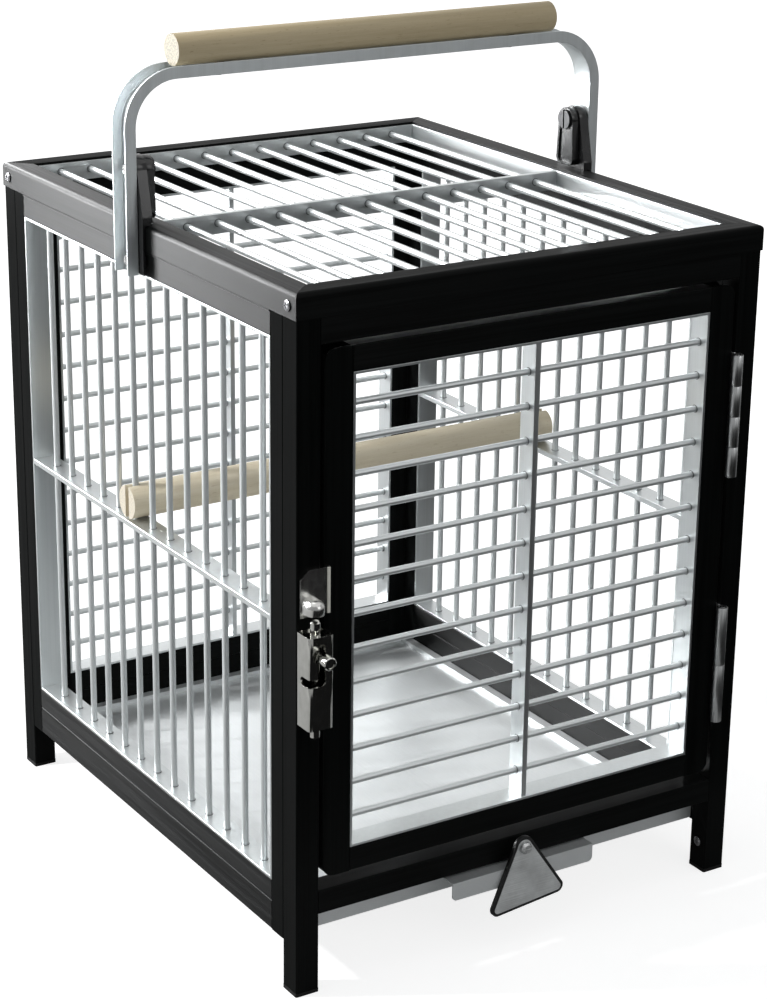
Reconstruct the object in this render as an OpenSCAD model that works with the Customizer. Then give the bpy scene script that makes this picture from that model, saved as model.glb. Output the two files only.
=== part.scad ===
// Bird travel carrier: a barred aluminium cage on four square posts, with a hinged
// barred door, a pull-out tray, a wooden perch and a folding handle with a wooden grip.
// Millimetres. +Z is up, the door faces -Y, and the origin is on the floor under the
// middle of the whole object's box.

/* [Overall size] */
// Width of the roof, outside to outside
cage_w = 422; // [380:1:480]
// Depth of the roof, outside to outside
cage_d = 498; // [460:1:560]
// Height of the roof's top above the floor
cage_h = 560; // [520:1:640]
// How far the roof stands out past the posts on each side
roof_lip = 1; // [0.5:0.1:2]

/* [Tubes and strips] */
// Side of the square tube of the posts and frame rails
tube = 20; // [18:0.5:22]
// Wall of the tubes
tube_wall = 1.5; // [1:0.1:2]
// Radius along the long edges of the tubes
tube_edge = 1; // [0.5:0.1:1.2]
// Radius along the roof's upper outside edge
roof_edge = 3.5; // [2:0.5:4]
// Gap left at each mitre of the roof
mitre_gap = 0.2; // [0.1:0.1:0.5]
// Thickness of the silver lining strips
liner_t = 2; // [1.5:0.1:2.5]
// How far the roof's lining strips stay below its top
roof_liner_drop = 2; // [1:0.5:4]

/* [Bars] */
// Radius of the bars
bar_r = 2.6; // [2:0.1:3]
// Clearance of a bar in its hole
bar_fit = 0.1; // [0.05:0.05:0.2]
// Number of bars in the roof
roof_bar_count = 13; // [9:1:15]
// Number of bars in each side
side_bar_count = 13; // [9:2:15]
// Number of bars in the back
back_bar_count = 14; // [9:1:15]
// Number of bars in the door
door_bar_count = 13; // [9:1:15]
// Distance of the roof's outermost bars from its lining strips
roof_bar_margin = 22.2; // [12:0.1:30]
// Distance of each side's outermost bars from its lining strips
side_bar_margin = 26.8; // [12:0.1:32]
// Distance of the back's lowest bar from the lining strip below it
back_margin_low = 23; // [12:0.5:32]
// Distance of the back's highest bar from the lining strip above it
back_margin_high = 26.5; // [12:0.5:32]
// Distance of the door's lowest bar from the lining strip below it
door_margin_low = 20.5; // [12:0.5:30]
// Distance of the door's highest bar from the lining strip above it
door_margin_high = 24; // [12:0.5:30]
// Height of the roof's bars above the underside of the roof
roof_bar_rise = 11; // [8:0.5:13]

/* [Side and back panels] */
// Height of the lowest edge of the panels above the floor
base_z = 42; // [36:1:50]
// Height of the base rails that the tray slides between
base_rail_h = 25; // [22:1:28]
// Height of the rail above each base rail
low_rail_h = 18; // [16:0.5:20]
// Height of the rail under the roof
top_rail_h = 20; // [16:0.5:22]
// Width of the upright stiles beside the posts
stile_w = 18; // [16:0.5:20]
// Thickness of the side mid rails
mid_rail_t = 4.5; // [3:0.5:6]
// Thickness of the upright strip in the middle of the back and the door
strip_t = 4.6; // [3:0.5:6]
// How far that strip stays behind both faces of its frame
strip_inset = 1.2; // [0.5:0.1:3]
// Thickness of the roof's crossbar
crossbar_t = 5; // [3:0.5:6]

/* [Door] */
// Gap between the door and the post on each side
door_gap = 3.5; // [3.4:0.1:4.5]
// Gap between the door and the rail above it
door_top_gap = 4; // [3:0.5:6]
// Gap between the door and the rail below it
door_low_gap = 10; // [8:0.5:14]
// Width of the door's upright stiles
door_stile_w = 24; // [20:0.5:28]
// Height of the door's top and bottom rails
door_rail_h = 20; // [16:0.5:24]
// Radius of the door's outside corners
door_corner = 10; // [4:1:14]

/* [Hinges] */
// Radius of the hinge barrels
barrel_r = 4.8; // [4:0.1:5]
// Radius of the hinge pins
hinge_pin_r = 2.4; // [2:0.1:2.8]
// Thickness of the hinge leaves
leaf_t = 1.5; // [1:0.1:1.6]
// Length of the hinge leaves behind the door's face
leaf_depth = 15; // [10:1:18]
// Length of each hinge
hinge_len = 101.6; // [80:0.1:110]
// Height of the upper hinge's lowest point
upper_hinge_z = 358; // [330:1:380]
// Height of the lower hinge's lowest point
lower_hinge_z = 144; // [120:1:170]

/* [Door latch] */
// Radius of the bolt
bolt_r = 4; // [3:0.1:4.5]
// Distance of the bolt's axis in front of the post
bolt_out = 10; // [9:0.5:11]
// Width of the bolt's housing
housing_w = 21; // [18:0.5:22]
// Depth of the bolt's housing
housing_d = 20; // [18:0.5:22]
// Height of the bolt's housing
housing_h = 74; // [66:1:90]
// Height of the housing's lower end above the floor
housing_z = 232; // [200:1:240]
// Wall of the housing
housing_wall = 1.5; // [1:0.1:2]
// Height of the knob above the housing's lower end
knob_rise = 57; // [50:1:62]
// Travel of the bolt up into the keeper
bolt_up = 8; // [6:0.5:9]
// Travel of the bolt down to the side notch
bolt_down = 19; // [16:0.5:22]
// Radius of the knob's stem
stem_r = 2.8; // [2.2:0.1:3.2]
// Radius of the knob
knob_r = 5.2; // [4:0.1:6]
// Distance from the post's face to the knob's end
knob_reach = 32.5; // [29:0.5:38]
// Width of the keeper's plate
keeper_w = 25.5; // [24:0.5:28]
// Height of the keeper's plate
keeper_h = 36.5; // [30:0.5:44]
// Thickness of the keeper's sheet
keeper_t = 2; // [1.5:0.1:2.2]
// Gap between the housing and the keeper
keeper_gap = 9.5; // [6:0.5:14]
// Inside radius of the keeper's cup
cup_r = 6.2; // [5.5:0.1:6.5]
// Height of the cup's rim above the keeper's lower edge
cup_rise = 5; // [4:0.5:6]
// Depth of the keeper's cup
cup_h = 4.5; // [4.5:0.5:7]

/* [Tray] */
// Thickness of the tray's sheet
tray_t = 1.2; // [0.8:0.1:1.5]
// Height of the tray's low walls
tray_wall_h = 5.5; // [5:0.5:10]
// Width of the hem along the tray's walls
tray_hem = 7; // [4:0.5:10]
// Gap between the tray and the rails beside it
tray_gap = 0.8; // [0.5:0.1:1.5]
// Width of the runners that the tray slides on
runner_w = 14; // [10:1:20]
// Width of the tray's pull tab
tab_w = 136; // [100:1:160]
// Height of the tray's pull tab
tab_h = 15.3; // [12:0.1:18]
// Distance of the tab in front of the front rail
tab_out = 9; // [6:0.5:12]
// How far the tab is left of the middle
tab_left = 5.5; // [0:0.5:10]
// Width of the tongue behind the tag
tongue_w = 9; // [8:0.5:12]

/* [Tag] */
// Width of the tag at its lower corners
tag_w = 69.5; // [56:0.5:76]
// Distance from the tag's screw down to its lower edge
tag_drop = 53; // [44:1:56]
// Height of the tag's screw above the front rail's underside
tag_rise = 15.5; // [11:0.5:18]
// How far the tag's screw is left of the middle
tag_left = 8; // [0:0.5:12]
// Radius of the tag's lower corners
tag_corner = 6; // [4:0.5:8]
// Radius of the tag around its screw
tag_top_r = 9; // [7.5:0.5:10]
// Thickness of the tag's backing
tag_t = 3; // [2:0.1:4]
// Width of the dark border around the tag's face
tag_border = 2.6; // [1.5:0.1:4]
// Angle at which the tag hangs on its tightened screw
tag_tilt = 6; // [0:1:10]

/* [Handle] */
// Width of the handle's channel
channel_w = 23; // [20:0.5:26]
// Depth of the handle's channel
channel_d = 9.5; // [8:0.5:12]
// Sheet thickness of the channel
channel_t = 1.5; // [1:0.1:2]
// Height of the handle's underside above the roof
handle_rise = 109.5; // [95:0.5:125]
// Inside radius of the handle's bends
handle_bend = 36; // [25:1:42]
// How far the handle's legs reach below the roof's top
leg_drop = 40; // [36:1:44]
// Radius of the wooden grip
grip_r = 12.4; // [11:0.1:13]
// Length of the wooden grip
grip_len = 353; // [300:1:360]
// Distance of the grip's screws from its ends
grip_screw_inset = 40; // [25:1:60]
// How deep the grip sits between the channel's flanges
grip_sink = 1.4; // [0.5:0.1:2]

/* [Handle lock] */
// Height of the lock's axis above the roof's top
lock_rise = 41.5; // [36:0.5:46]
// Thickness of the lock's plate outside the cage
lock_plate_t = 2.5; // [2:0.1:3]
// Width of the lock's plate
lock_plate_w = 38; // [30:1:42]
// Thickness of the lock's block above the roof
lock_block_t = 8.5; // [7:0.5:10]
// Thickness of the lock's lever
lever_t = 6.7; // [5:0.1:8]
// Radius of the slotted disc on the lever
disc_r = 8.2; // [6:0.1:9]

/* [Perch] */
// Radius of the perch
perch_r = 14.2; // [12:0.1:15]
// How far each end of the perch stays inside the posts' outer faces
perch_inset = 2; // [1:0.5:4]
// Number of bars from each side's middle one back to the perch
perch_bar = 1; // [0:1:3]

/* [Hidden] */

// Fits and small details
move_gap = 0.3;
run_fit = 0.05;
corner_step = 0.02;
fine = 48;
round_fn = 96;
edge_fn = 24;

// The posts' outer faces, and the places of the cage's four sides
frame_w = cage_w - 2 * roof_lip;
frame_d = cage_d - 2 * roof_lip;
front_y = (knob_reach - frame_d - roof_lip) / 2;
back_y = front_y + frame_d;
mid_y = (front_y + back_y) / 2;
side_x = frame_w / 2;
post_x = side_x - tube / 2;
inner_x = side_x - tube;
roof_z = cage_h - tube;

// Plugs in the posts' lower ends
plug_rim = 3;
plug_depth = 14;
plug_swell = 0.3;
plug_corner = 1.5;
foot_screw_z = 25.5;

// Windows of the side and back panels, up to the dark frame
window_z0 = base_z + base_rail_h + low_rail_h;
window_z1 = roof_z - top_rail_h;
window_mid_z = (window_z0 + window_z1) / 2;
side_window = frame_d - 2 * (tube + stile_w);
back_window = frame_w - 2 * (tube + stile_w);
mid_rail_z = window_mid_z - mid_rail_t / 2;
back_bar_heights = [for (i = [0:back_bar_count - 1]) back_bar_at(i)];

// Roof opening, up to the dark rails
roof_open_w = cage_w - 2 * tube;
roof_open_d = cage_d - 2 * tube;
roof_bar_z = roof_z + roof_bar_rise;
roof_liner_z0 = roof_z + roof_liner_drop;
roof_liner_z1 = cage_h - roof_liner_drop;
roof_screw_inset = 12;
roof_screw_z = roof_z + 9;

// Front rails and door
front_rail_z = base_z + base_rail_h;
door_x = inner_x - door_gap;
door_z0 = front_rail_z + tube + door_low_gap;
door_z1 = roof_z - top_rail_h - door_top_gap;
door_y = front_y + tube / 2;
door_window_x = door_x - door_stile_w;
door_window_z0 = door_z0 + door_rail_h;
door_window_z1 = door_z1 - door_rail_h;
door_bar_heights = [for (i = [0:door_bar_count - 1]) door_bar_at(i)];

// Hinge axis, in the middle of the gap and clear of both faces
hinge_x = inner_x - door_gap / 2;
hinge_y = front_y - barrel_r - move_gap;
leaf_clear = 0.4;
knuckle_gap = 0.3;

// Latch
bolt_x = -post_x;
bolt_y = front_y - bolt_out;
bolt_tail = 10;
bolt_rest_z = housing_z + knob_rise;
keeper_z = housing_z + housing_h + keeper_gap;
keeper_inset = 2;
keeper_x0 = -side_x + keeper_inset;
keeper_slope = 7;
keeper_leg_inset = 3;
cup_wall = 1;
slot_fit = 0.5;
low_guide_h = 3;
top_guide_h = 10;
housing_corner = 3;

// Tray
tray_half = inner_x - tray_gap;
tray_z = base_z + tube_wall + move_gap;
tray_y0 = front_y + tube + tray_gap;
tray_y1 = back_y - tube - tray_gap;
tab_play = 1.5;
tab_top_z = front_rail_z - tab_play;
tab_y = front_y - tab_out;
tab_x = -tab_left;
tag_x = -tag_left;
tab_corner = 4;

// Tag and its screw
tag_screw_r = 2;
tag_head_r = 5;
tag_head_t = 4.4;
tag_head_bevel = 1.5;
tag_slot_w = 1;
tag_nut_r = 3.6;
tag_nut_t = 3;
tag_face_t = 0.5;
tag_z = front_rail_z + tag_rise;
tag_back_y = tab_y - tray_t - move_gap;
tag_front_y = tag_back_y - tag_t;

// Screws: shank, heads, and the share of a head that is its rim, its crown and its cross
pivot_r = 3;
screw_grip = 6;
screw_head_r = 5;
screw_head_t = 3.6;
frame_head_r = 4.2;
frame_head_t = 1.6;
head_rim = 0.55;
head_crown = 0.72;
cross_start = 0.6;
cross_w = 1;

// Handle
pivot_z = roof_z - top_rail_h / 2;
plate_x = side_x + roof_lip + lock_plate_t;
leg_x = plate_x + move_gap;
leg_z0 = cage_h - leg_drop;
bar_z = cage_h + handle_rise;
grip_z = bar_z + channel_d - grip_sink + grip_r;
grip_screw_r = 2;
grip_head_r = 4.2;
grip_head_edge = 3;
grip_head_t = 2;
grip_spacer_r = 5;
grip_screw_x = grip_len / 2 - grip_screw_inset;

// Handle lock
lock_z = cage_h + lock_rise;
lock_top_r = 11;
lock_shoulder = 6;
lock_corner = 4;
lever_top_r = 10;
lever_end_r = 6;
lever_end_w = 23;
lever_foot = 2.5;
lever_rim = 2.4;
lever_recess = 1.6;
block_x = plate_x - lock_block_t;
lever_x = block_x - move_gap;
disc_t = 2;

// Perch
perch_y = mid_y + side_bar_at((side_bar_count - 1) / 2 + perch_bar);
perch_z = mid_rail_z + mid_rail_t + move_gap + perch_r;
perch_half = side_x - perch_inset;
notch_fit = 0.4;

// Places of the bars across each grille: bar i of a row between two outermost ones
function row_at(i, count, low, high) = low + (high - low) * i / (count - 1);
function roof_bar_at(i) = let(end = roof_open_w / 2 - liner_t - roof_bar_margin)
    row_at(i, roof_bar_count, -end, end);
function side_bar_at(i) = let(end = side_window / 2 - liner_t - side_bar_margin)
    row_at(i, side_bar_count, -end, end);
function back_bar_at(i) = row_at(i, back_bar_count, window_z0 + liner_t + back_margin_low,
    window_z1 - liner_t - back_margin_high);
function door_bar_at(i) = row_at(i, door_bar_count, door_window_z0 + liner_t + door_margin_low,
    door_window_z1 - liner_t - door_margin_high);

// A rectangle with round corners, centred
module rounded_rect(w, h, r) {
    square([w - 2 * r, h], center = true);
    square([w, h - 2 * r], center = true);
    for (sx = [-1, 1], sy = [-1, 1])
        translate([sx * (w / 2 - r), sy * (h / 2 - r)]) circle(r = r, $fn = edge_fn);
}

// The section of a tube w wide and h high
module tube_section(w, h) {
    difference() {
        rounded_rect(w, h, tube_edge);
        square([w - 2 * tube_wall, h - 2 * tube_wall], center = true);
    }
}

// An upright tube: w along X, d along Y
module tube_up(x, y, z0, z1, w, d) {
    translate([x, y, z0]) linear_extrude(z1 - z0) tube_section(w, d);
}

// A tube along X: d along Y, h along Z
module tube_across(x0, x1, y, z, d, h) {
    translate([x0, y, z]) rotate([0, 90, 0]) linear_extrude(x1 - x0) tube_section(h, d);
}

// A tube along Y: w along X, h along Z
module tube_along(x, y0, y1, z, w, h) {
    translate([x, y0, z]) rotate([-90, 0, 0]) linear_extrude(y1 - y0) tube_section(w, h);
}

// A box between two corners
module block(low, high) {
    translate(low) cube(high - low);
}

// A rod between two heights, or along X or Y
module rod_up(x, y, z0, z1, r, fn = fine) {
    translate([x, y, z0]) cylinder(r = r, h = z1 - z0, $fn = fn);
}
module rod_across(x0, x1, y, z, r, fn = fine) {
    translate([x0, y, z]) rotate([0, 90, 0]) cylinder(r = r, h = x1 - x0, $fn = fn);
}
module rod_along(x, y0, y1, z, r, fn = fine) {
    translate([x, y0, z]) rotate([-90, 0, 0]) cylinder(r = r, h = y1 - y0, $fn = fn);
}

// A flat shape with round corners, given as [x, y, r] in turn against the clock; its edges
// run corner_step inside the corners' circles, so that they cross them cleanly
function unit_normal(a, b) = let(d = [b[0] - a[0], b[1] - a[1]]) [d[1], -d[0]] / norm(d);
function edge_points(a, b) =
    let(n = unit_normal(a, b))
    [[a[0], a[1]] + n * (a[2] - corner_step), [b[0], b[1]] + n * (b[2] - corner_step)];
module round_polygon(corners) {
    n = len(corners);
    polygon([for (i = [0:n - 1]) each edge_points(corners[i], corners[(i + 1) % n])]);
    for (c = corners) translate([c[0], c[1]]) circle(r = c[2], $fn = round_fn);
}

// Corner posts with holes for the roof's and the feet's screws
module post(sx, y) {
    color("#151617")
    difference() {
        tube_up(sx * post_x, y, plug_rim, roof_z, tube, tube);
        foot_screw_hole(sx, y);
    }
}
module foot_screw_hole(sx, y) {
    x0 = sx > 0 ? inner_x - 1 : -inner_x - tube_wall - 1;
    rod_across(x0, x0 + tube_wall + 2, y, foot_screw_z, pivot_r + run_fit);
}

module post_front_left() { post(-1, front_y + tube / 2); }
module post_front_right() { post(1, front_y + tube / 2); }
module post_back_left() { post(-1, back_y - tube / 2); }
module post_back_right() { post(1, back_y - tube / 2); }

// Plugs with a rim under each post and a spigot inside it
module foot_plugs() {
    color("#1c1d1e")
    for (sx = [-1, 1], y = [front_y + tube / 2, back_y - tube / 2])
        translate([sx * post_x, y, 0]) {
            rim = tube + 2 * plug_swell;
            spigot = tube - 2 * tube_wall - 2 * run_fit;
            linear_extrude(plug_rim) rounded_rect(rim, rim, plug_corner);
            linear_extrude(plug_rim + plug_depth) square(spigot, center = true);
        }
}

// One roof rail along Y, its outer face at x = 0, mitred at both ends
module roof_rail(length) {
    half = length / 2 - mitre_gap;
    intersection() {
        translate([0, length / 2, 0]) rotate([90, 0, 0]) linear_extrude(length) roof_section();
        linear_extrude(tube)
            polygon([[0, -half], [tube, tube - half], [tube, half - tube], [0, half]]);
    }
}
module roof_section() {
    difference() {
        union() {
            square([tube, tube - roof_edge]);
            translate([roof_edge, 0]) square([tube - roof_edge, tube]);
            translate([roof_edge, tube - roof_edge]) circle(r = roof_edge, $fn = 32);
        }
        translate([tube_wall, tube_wall]) square([tube - 2 * tube_wall, tube - 2 * tube_wall]);
    }
}
module roof_side_rails() {
    color("#202223")
    for (sx = [-1, 1])
        difference() {
            translate([sx * cage_w / 2, mid_y, roof_z])
                rotate([0, 0, sx > 0 ? 180 : 0]) roof_rail(cage_d);
            roof_screw_holes(sx);
        }
}
module roof_end_rails() {
    color("#202223")
    for (sy = [-1, 1])
        translate([0, mid_y + sy * cage_d / 2, roof_z])
            rotate([0, 0, sy > 0 ? -90 : 90]) roof_rail(cage_w);
}
module roof_screw_holes(sx) {
    wall_x = sx * (cage_w - tube_wall) / 2;
    for (sy = [-1, 1])
        rod_across(wall_x - tube_wall, wall_x + tube_wall,
            mid_y + sy * (cage_d / 2 - roof_screw_inset), roof_screw_z, pivot_r + run_fit);
}

// Silver strips inside the roof's rails; the bars pass through the end strips
module roof_liner() {
    x = roof_open_w / 2;
    y = roof_open_d / 2;
    color("#b9bec2") {
        for (sx = [-1, 1])
            block([sx > 0 ? x - liner_t : -x, mid_y - y, roof_liner_z0],
                [sx > 0 ? x : liner_t - x, mid_y + y, roof_liner_z1]);
        difference() {
            for (sy = [-1, 1])
                block([liner_t - x, mid_y + (sy > 0 ? y - liner_t : -y), roof_liner_z0],
                    [x - liner_t, mid_y + (sy > 0 ? y : liner_t - y), roof_liner_z1]);
            roof_rods(bar_r + bar_fit, 1);
        }
    }
}
module roof_rods(r, extra) {
    for (i = [0:roof_bar_count - 1])
        rod_along(roof_bar_at(i), mid_y - roof_open_d / 2 - extra,
            mid_y + roof_open_d / 2 + extra, roof_bar_z, r);
}
module roof_bars() {
    color("#c9cdd0") roof_rods(bar_r, 0);
}
module roof_crossbar() {
    x = roof_open_w / 2 - liner_t;
    color("#b9bec2")
    difference() {
        block([-x, mid_y - crossbar_t / 2, roof_liner_z0], [x, mid_y + crossbar_t / 2, roof_liner_z1]);
        roof_rods(bar_r + bar_fit, 1);
    }
}

// Side panels: stiles, rails, lining, mid rail and upright bars
module side_stiles(sx) {
    color("#151617")
    for (y = [front_y + tube + stile_w / 2, back_y - tube - stile_w / 2])
        tube_up(sx * post_x, y, base_z, roof_z, tube, stile_w);
}
module side_rails(sx) {
    y0 = front_y + tube + stile_w;
    y1 = back_y - tube - stile_w;
    color("#151617") {
        tube_along(sx * post_x, y0, y1, base_z + base_rail_h + low_rail_h / 2, tube, low_rail_h);
        difference() {
            tube_along(sx * post_x, y0, y1, roof_z - top_rail_h / 2, tube, top_rail_h);
            pivot_holes(sx);
        }
    }
}
module pivot_holes(sx) {
    rod_across(sx * side_x - tube_wall - 1, sx * side_x + tube_wall + 1, mid_y, pivot_z, pivot_r + run_fit);
}
module side_base_rail(sx) {
    y0 = front_y + tube + stile_w;
    y1 = back_y - tube - stile_w;
    lip0 = inner_x - runner_w;
    color("#151617") {
        tube_along(sx * post_x, y0, y1, base_z + base_rail_h / 2, tube, base_rail_h);
        block([sx > 0 ? lip0 : -inner_x - tube_edge, y0, base_z],
            [sx > 0 ? inner_x + tube_edge : -lip0, y1, base_z + tube_wall]);
    }
}
module side_rods(sx, r, extra) {
    for (i = [0:side_bar_count - 1])
        rod_up(sx * post_x, mid_y + side_bar_at(i), window_z0 - extra, window_z1 + extra, r);
}
module side_liner(sx) {
    x0 = sx * post_x - tube / 2;
    x1 = sx * post_x + tube / 2;
    y = side_window / 2;
    color("#b9bec2") {
        for (sy = [-1, 1])
            block([x0, mid_y + (sy > 0 ? y - liner_t : -y), window_z0],
                [x1, mid_y + (sy > 0 ? y : liner_t - y), window_z1]);
        difference() {
            for (z = [window_z0, window_z1 - liner_t])
                block([x0, mid_y + liner_t - y, z], [x1, mid_y - liner_t + y, z + liner_t]);
            side_rods(sx, bar_r + bar_fit, 1);
        }
    }
}
module side_mid_rail(sx) {
    y = side_window / 2 - liner_t;
    color("#b9bec2")
    difference() {
        block([sx * post_x - tube / 2, mid_y - y, mid_rail_z],
            [sx * post_x + tube / 2, mid_y + y, mid_rail_z + mid_rail_t]);
        side_rods(sx, bar_r + bar_fit, 1);
    }
}
module side_bars(sx) {
    color("#c9cdd0") side_rods(sx, bar_r, 0);
}

module left_stiles() { side_stiles(-1); }
module left_rails() { side_rails(-1); }
module left_base_rail() { side_base_rail(-1); }
module left_liner() { side_liner(-1); }
module left_mid_rail() { side_mid_rail(-1); }
module left_bars() { side_bars(-1); }
module right_stiles() { side_stiles(1); }
module right_rails() { side_rails(1); }
module right_base_rail() { side_base_rail(1); }
module right_liner() { side_liner(1); }
module right_mid_rail() { side_mid_rail(1); }
module right_bars() { side_bars(1); }

// Grilles with level bars at the given heights, in the back panel and in the door: half is
// the window's half width
module level_rods(half, y, heights, r, extra) {
    for (z = heights)
        rod_across(-half - extra, half + extra, y, z, r);
}
module level_liner(half, y, z0, z1, heights) {
    color("#b9bec2") {
        for (z = [z0, z1 - liner_t])
            block([liner_t - half, y - tube / 2, z], [half - liner_t, y + tube / 2, z + liner_t]);
        difference() {
            for (sx = [-1, 1])
                block([sx > 0 ? half - liner_t : -half, y - tube / 2, z0],
                    [sx > 0 ? half : liner_t - half, y + tube / 2, z1]);
            level_rods(half, y, heights, bar_r + bar_fit, 1);
        }
    }
}
module level_strip(half, y, z0, z1, heights) {
    color("#b9bec2")
    difference() {
        block([-strip_t / 2, y - tube / 2 + strip_inset, z0 + liner_t],
            [strip_t / 2, y + tube / 2 - strip_inset, z1 - liner_t]);
        level_rods(half, y, heights, bar_r + bar_fit, 1);
    }
}

// Back panel
module back_stiles() {
    color("#151617")
    for (sx = [-1, 1])
        tube_up(sx * (inner_x - stile_w / 2), back_y - tube / 2, base_z, roof_z, stile_w, tube);
}
module back_rails() {
    x = inner_x - stile_w;
    color("#151617") {
        tube_across(-x, x, back_y - tube / 2, base_z + base_rail_h + low_rail_h / 2, tube, low_rail_h);
        tube_across(-x, x, back_y - tube / 2, roof_z - top_rail_h / 2, tube, top_rail_h);
    }
}
module back_base_rail() {
    x = inner_x - stile_w;
    color("#151617") {
        tube_across(-x, x, back_y - tube / 2, base_z + base_rail_h / 2, tube, base_rail_h);
        block([-x, back_y - tube - runner_w, base_z], [x, back_y - tube + tube_edge, base_z + tube_wall]);
    }
}
module back_liner() {
    level_liner(back_window / 2, back_y - tube / 2, window_z0, window_z1, back_bar_heights);
}
module back_strip() {
    level_strip(back_window / 2, back_y - tube / 2, window_z0, window_z1, back_bar_heights);
}
module back_bars() {
    color("#c9cdd0") level_rods(back_window / 2, back_y - tube / 2, back_bar_heights, bar_r, 0);
}

// Front rails above and below the door
module front_top_rail() {
    color("#151617")
        tube_across(-inner_x, inner_x, front_y + tube / 2, roof_z - top_rail_h / 2, tube, top_rail_h);
}
module front_bottom_rail() {
    color("#151617")
        tube_across(-inner_x, inner_x, front_y + tube / 2, front_rail_z + tube / 2, tube, tube);
}

// A pan-head screw along +X from its seat at x = 0, with its shank behind the seat
module side_screw(shank, head_r, head_t) {
    rim_t = head_t * head_rim;
    difference() {
        union() {
            rod_across(0, rim_t, 0, 0, head_r);
            translate([rim_t, 0, 0]) rotate([0, 90, 0])
                cylinder(r1 = head_r, r2 = head_r * head_crown, h = head_t - rim_t, $fn = fine);
            rod_across(-shank, 0, 0, 0, pivot_r);
        }
        for (turn = [0, 90])
            translate([head_t * cross_start, 0, 0]) rotate([turn, 0, 0])
                translate([0, -head_r / 2, -cross_w / 2]) cube([head_t, head_r, cross_w]);
    }
}
module frame_screws() {
    color("#9a9da0") {
        for (sx = [-1, 1], sy = [-1, 1])
            translate([sx * cage_w / 2, mid_y + sy * (cage_d / 2 - roof_screw_inset), roof_screw_z])
                mirror([sx < 0 ? 1 : 0, 0, 0]) side_screw(screw_grip, frame_head_r, frame_head_t);
        for (sx = [-1, 1], y = [front_y + tube / 2, back_y - tube / 2])
            translate([sx * inner_x, y, foot_screw_z])
                mirror([sx > 0 ? 1 : 0, 0, 0]) side_screw(screw_grip, frame_head_r, frame_head_t);
    }
}

// Door frame: its outside corners are round
module door_outline() {
    translate([0, (door_z0 + door_z1) / 2]) rounded_rect(2 * door_x, door_z1 - door_z0, door_corner);
}
module door_slab() {
    translate([0, front_y + tube, 0]) rotate([90, 0, 0]) linear_extrude(tube) door_outline();
}
module door_stiles() {
    color("#151617")
    intersection() {
        door_slab();
        for (sx = [-1, 1])
            tube_up(sx * (door_window_x + door_stile_w / 2), door_y, door_z0, door_z1, door_stile_w, tube);
    }
}
module door_rails() {
    color("#151617")
    for (z = [door_z0 + door_rail_h / 2, door_z1 - door_rail_h / 2])
        tube_across(-door_window_x, door_window_x, door_y, z, tube, door_rail_h);
}
module door_liner() {
    level_liner(door_window_x, door_y, door_window_z0, door_window_z1, door_bar_heights);
}
module door_strip() {
    level_strip(door_window_x, door_y, door_window_z0, door_window_z1, door_bar_heights);
}
module door_bars() {
    color("#c9cdd0") level_rods(door_window_x, door_y, door_bar_heights, bar_r, 0);
}

// One hinge: knuckles in turn belong to the door (part 0) and to the post (part 1)
function knuckle_z(z, count, i) = z + i * hinge_len / count;
module knuckles(z, count, part, r, gap) {
    for (i = [0:count - 1])
        if ((i + part) % 2 == 1)
            rod_up(hinge_x, hinge_y, knuckle_z(z, count, i) + gap / 2,
                knuckle_z(z, count, i + 1) - gap / 2, r);
}
module leaf(z, count, part) {
    x0 = part == 0 ? hinge_x - door_gap / 2 : hinge_x + door_gap / 2 - leaf_t;
    difference() {
        union() {
            knuckles(z, count, part, barrel_r, knuckle_gap);
            difference() {
                block([x0, hinge_y, z], [x0 + leaf_t, front_y + leaf_depth, z + hinge_len]);
                knuckles(z, count, 1 - part, barrel_r + leaf_clear, -knuckle_gap);
            }
        }
        rod_up(hinge_x, hinge_y, z - 1, z + hinge_len + 1, hinge_pin_r + run_fit);
    }
}
module leaves(part) {
    leaf(upper_hinge_z, 4, part);
    leaf(lower_hinge_z, 2, part);
}
module hinge_door_leaves() { color("#a8acaf") leaves(0); }
module hinge_post_leaves() { color("#a8acaf") leaves(1); }
module hinge_pins() {
    color("#8f9396")
    for (z = [upper_hinge_z, lower_hinge_z])
        rod_up(hinge_x, hinge_y, z, z + hinge_len, hinge_pin_r);
}

// Keeper: a plate that laps from the door onto the post, with a domed cup for the bolt's nose
module latch_keeper() {
    plate_y = front_y - move_gap;
    join_y = plate_y - keeper_t / 2;
    cup_z0 = keeper_z + cup_rise;
    cup_z1 = cup_z0 + cup_h;
    outer_r = cup_r + cup_wall;
    color("#c4c6c8")
    difference() {
        union() {
            translate([0, plate_y, 0]) rotate([90, 0, 0]) linear_extrude(keeper_t) keeper_outline();
            block([-door_x - leaf_t, join_y, keeper_z + keeper_leg_inset],
                [-door_x, front_y + tube / 2, keeper_z + keeper_h - keeper_leg_inset]);
            rod_up(bolt_x, bolt_y, cup_z0, cup_z1, outer_r);
            block([bolt_x - outer_r, bolt_y, cup_z0], [bolt_x + outer_r, join_y, cup_z1]);
            intersection() {
                union() {
                    translate([bolt_x, bolt_y, cup_z1]) sphere(r = outer_r, $fn = fine);
                    rod_along(bolt_x, bolt_y, join_y, cup_z1, outer_r);
                }
                block([bolt_x - 2 * outer_r, bolt_y - 2 * outer_r, cup_z1],
                    [bolt_x + 2 * outer_r, join_y, cup_z1 + 2 * outer_r]);
            }
        }
        rod_up(bolt_x, bolt_y, cup_z0 - 1, cup_z1, cup_r);
    }
}
module keeper_outline() {
    z1 = keeper_z + keeper_h;
    x1 = keeper_x0 + keeper_w;
    polygon([[keeper_x0, keeper_z], [x1, keeper_z], [x1, z1], [keeper_x0 + keeper_slope, z1],
        [keeper_x0, z1 - keeper_slope]]);
}

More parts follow.
